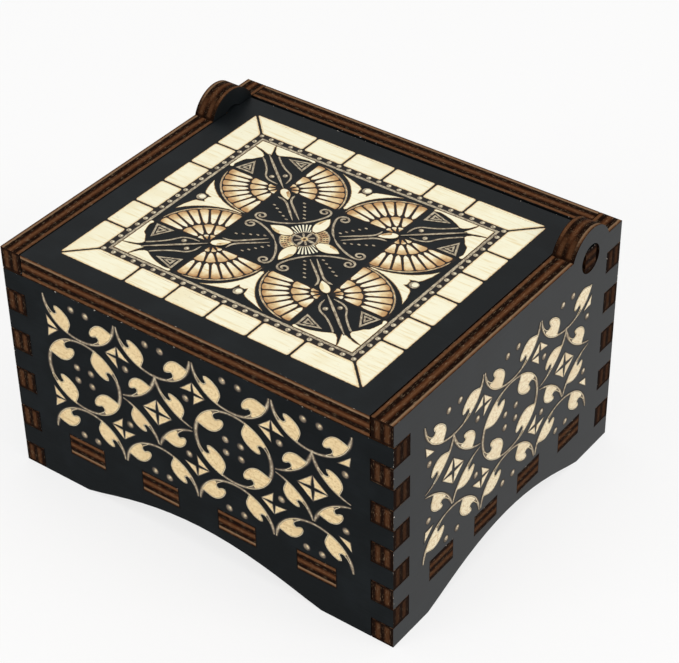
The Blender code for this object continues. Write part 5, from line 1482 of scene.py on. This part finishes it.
def add_camera(studio):
    """The camera at the picture's angle."""
    aim = Vector((studio.aim_x, 0.0, studio.aim_z))
    level = math.cos(studio.elevation)
    across, forward = math.sin(studio.azimuth) * level, math.cos(studio.azimuth) * level
    back = Vector((across, -forward, math.sin(studio.elevation)))
    right = (-back).cross(Vector((0, 0, 1))).normalized()
    turn = Matrix((right, right.cross(-back), back)).transposed()
    turn = turn @ Matrix.Rotation(studio.roll, 3, "Z")
    data = bpy.data.cameras.new("camera")
    data.lens = studio.lens
    data.clip_start = 0.01
    camera = bpy.data.objects.new("camera", data)
    camera.matrix_world = Matrix.Translation(aim + back * studio.distance) @ turn.to_4x4()
    bpy.context.scene.collection.objects.link(camera)
    bpy.context.scene.camera = camera


class BOX_PT_panel(bpy.types.Panel):
    """The steps that finish the music box"""

    bl_idname = "BOX_PT_panel"
    bl_label = "Music Box"
    bl_space_type = "VIEW_3D"
    bl_region_type = "UI"
    bl_category = "Music Box"

    def draw(self, context):
        for operator, group in STEPS:
            box = self.layout.box()
            box.operator(operator.bl_idname)
            settings = getattr(context.scene, group)
            for name in settings.__annotations__:
                box.prop(settings, name)


GROUPS = {
    "box_plywood": PlywoodFinish,
    "box_etching": EtchingSizes,
    "box_lid": LidSizes,
    "box_walls": WallSizes,
    "box_movement": MovementFinish,
    "box_studio": StudioSizes,
}
STEPS = (
    (BOX_OT_plywood, "box_plywood"),
    (BOX_OT_lid_border, "box_etching"),
    (BOX_OT_lid_roundels, "box_lid"),
    (BOX_OT_lid_middle, "box_lid"),
    (BOX_OT_walls, "box_walls"),
    (BOX_OT_movement, "box_movement"),
    (BOX_OT_studio, "box_studio"),
)


def register():
    for name, group in GROUPS.items():
        bpy.utils.register_class(group)
        setattr(bpy.types.Scene, name, PointerProperty(type=group))
    for operator, _ in STEPS:
        bpy.utils.register_class(operator)
    bpy.utils.register_class(BOX_PT_panel)


def unregister():
    bpy.utils.unregister_class(BOX_PT_panel)
    for operator, _ in reversed(STEPS):
        bpy.utils.unregister_class(operator)
    for name, group in reversed(GROUPS.items()):
        delattr(bpy.types.Scene, name)
        bpy.utils.unregister_class(group)


def main():
    """Finishes the music box."""
    register()
    bpy.ops.box.plywood()
    bpy.ops.box.lid_border()
    bpy.ops.box.lid_roundels()
    bpy.ops.box.lid_middle()
    bpy.ops.box.walls()
    bpy.ops.box.movement()
    bpy.ops.box.studio()


if __name__ == "__main__":
    main()
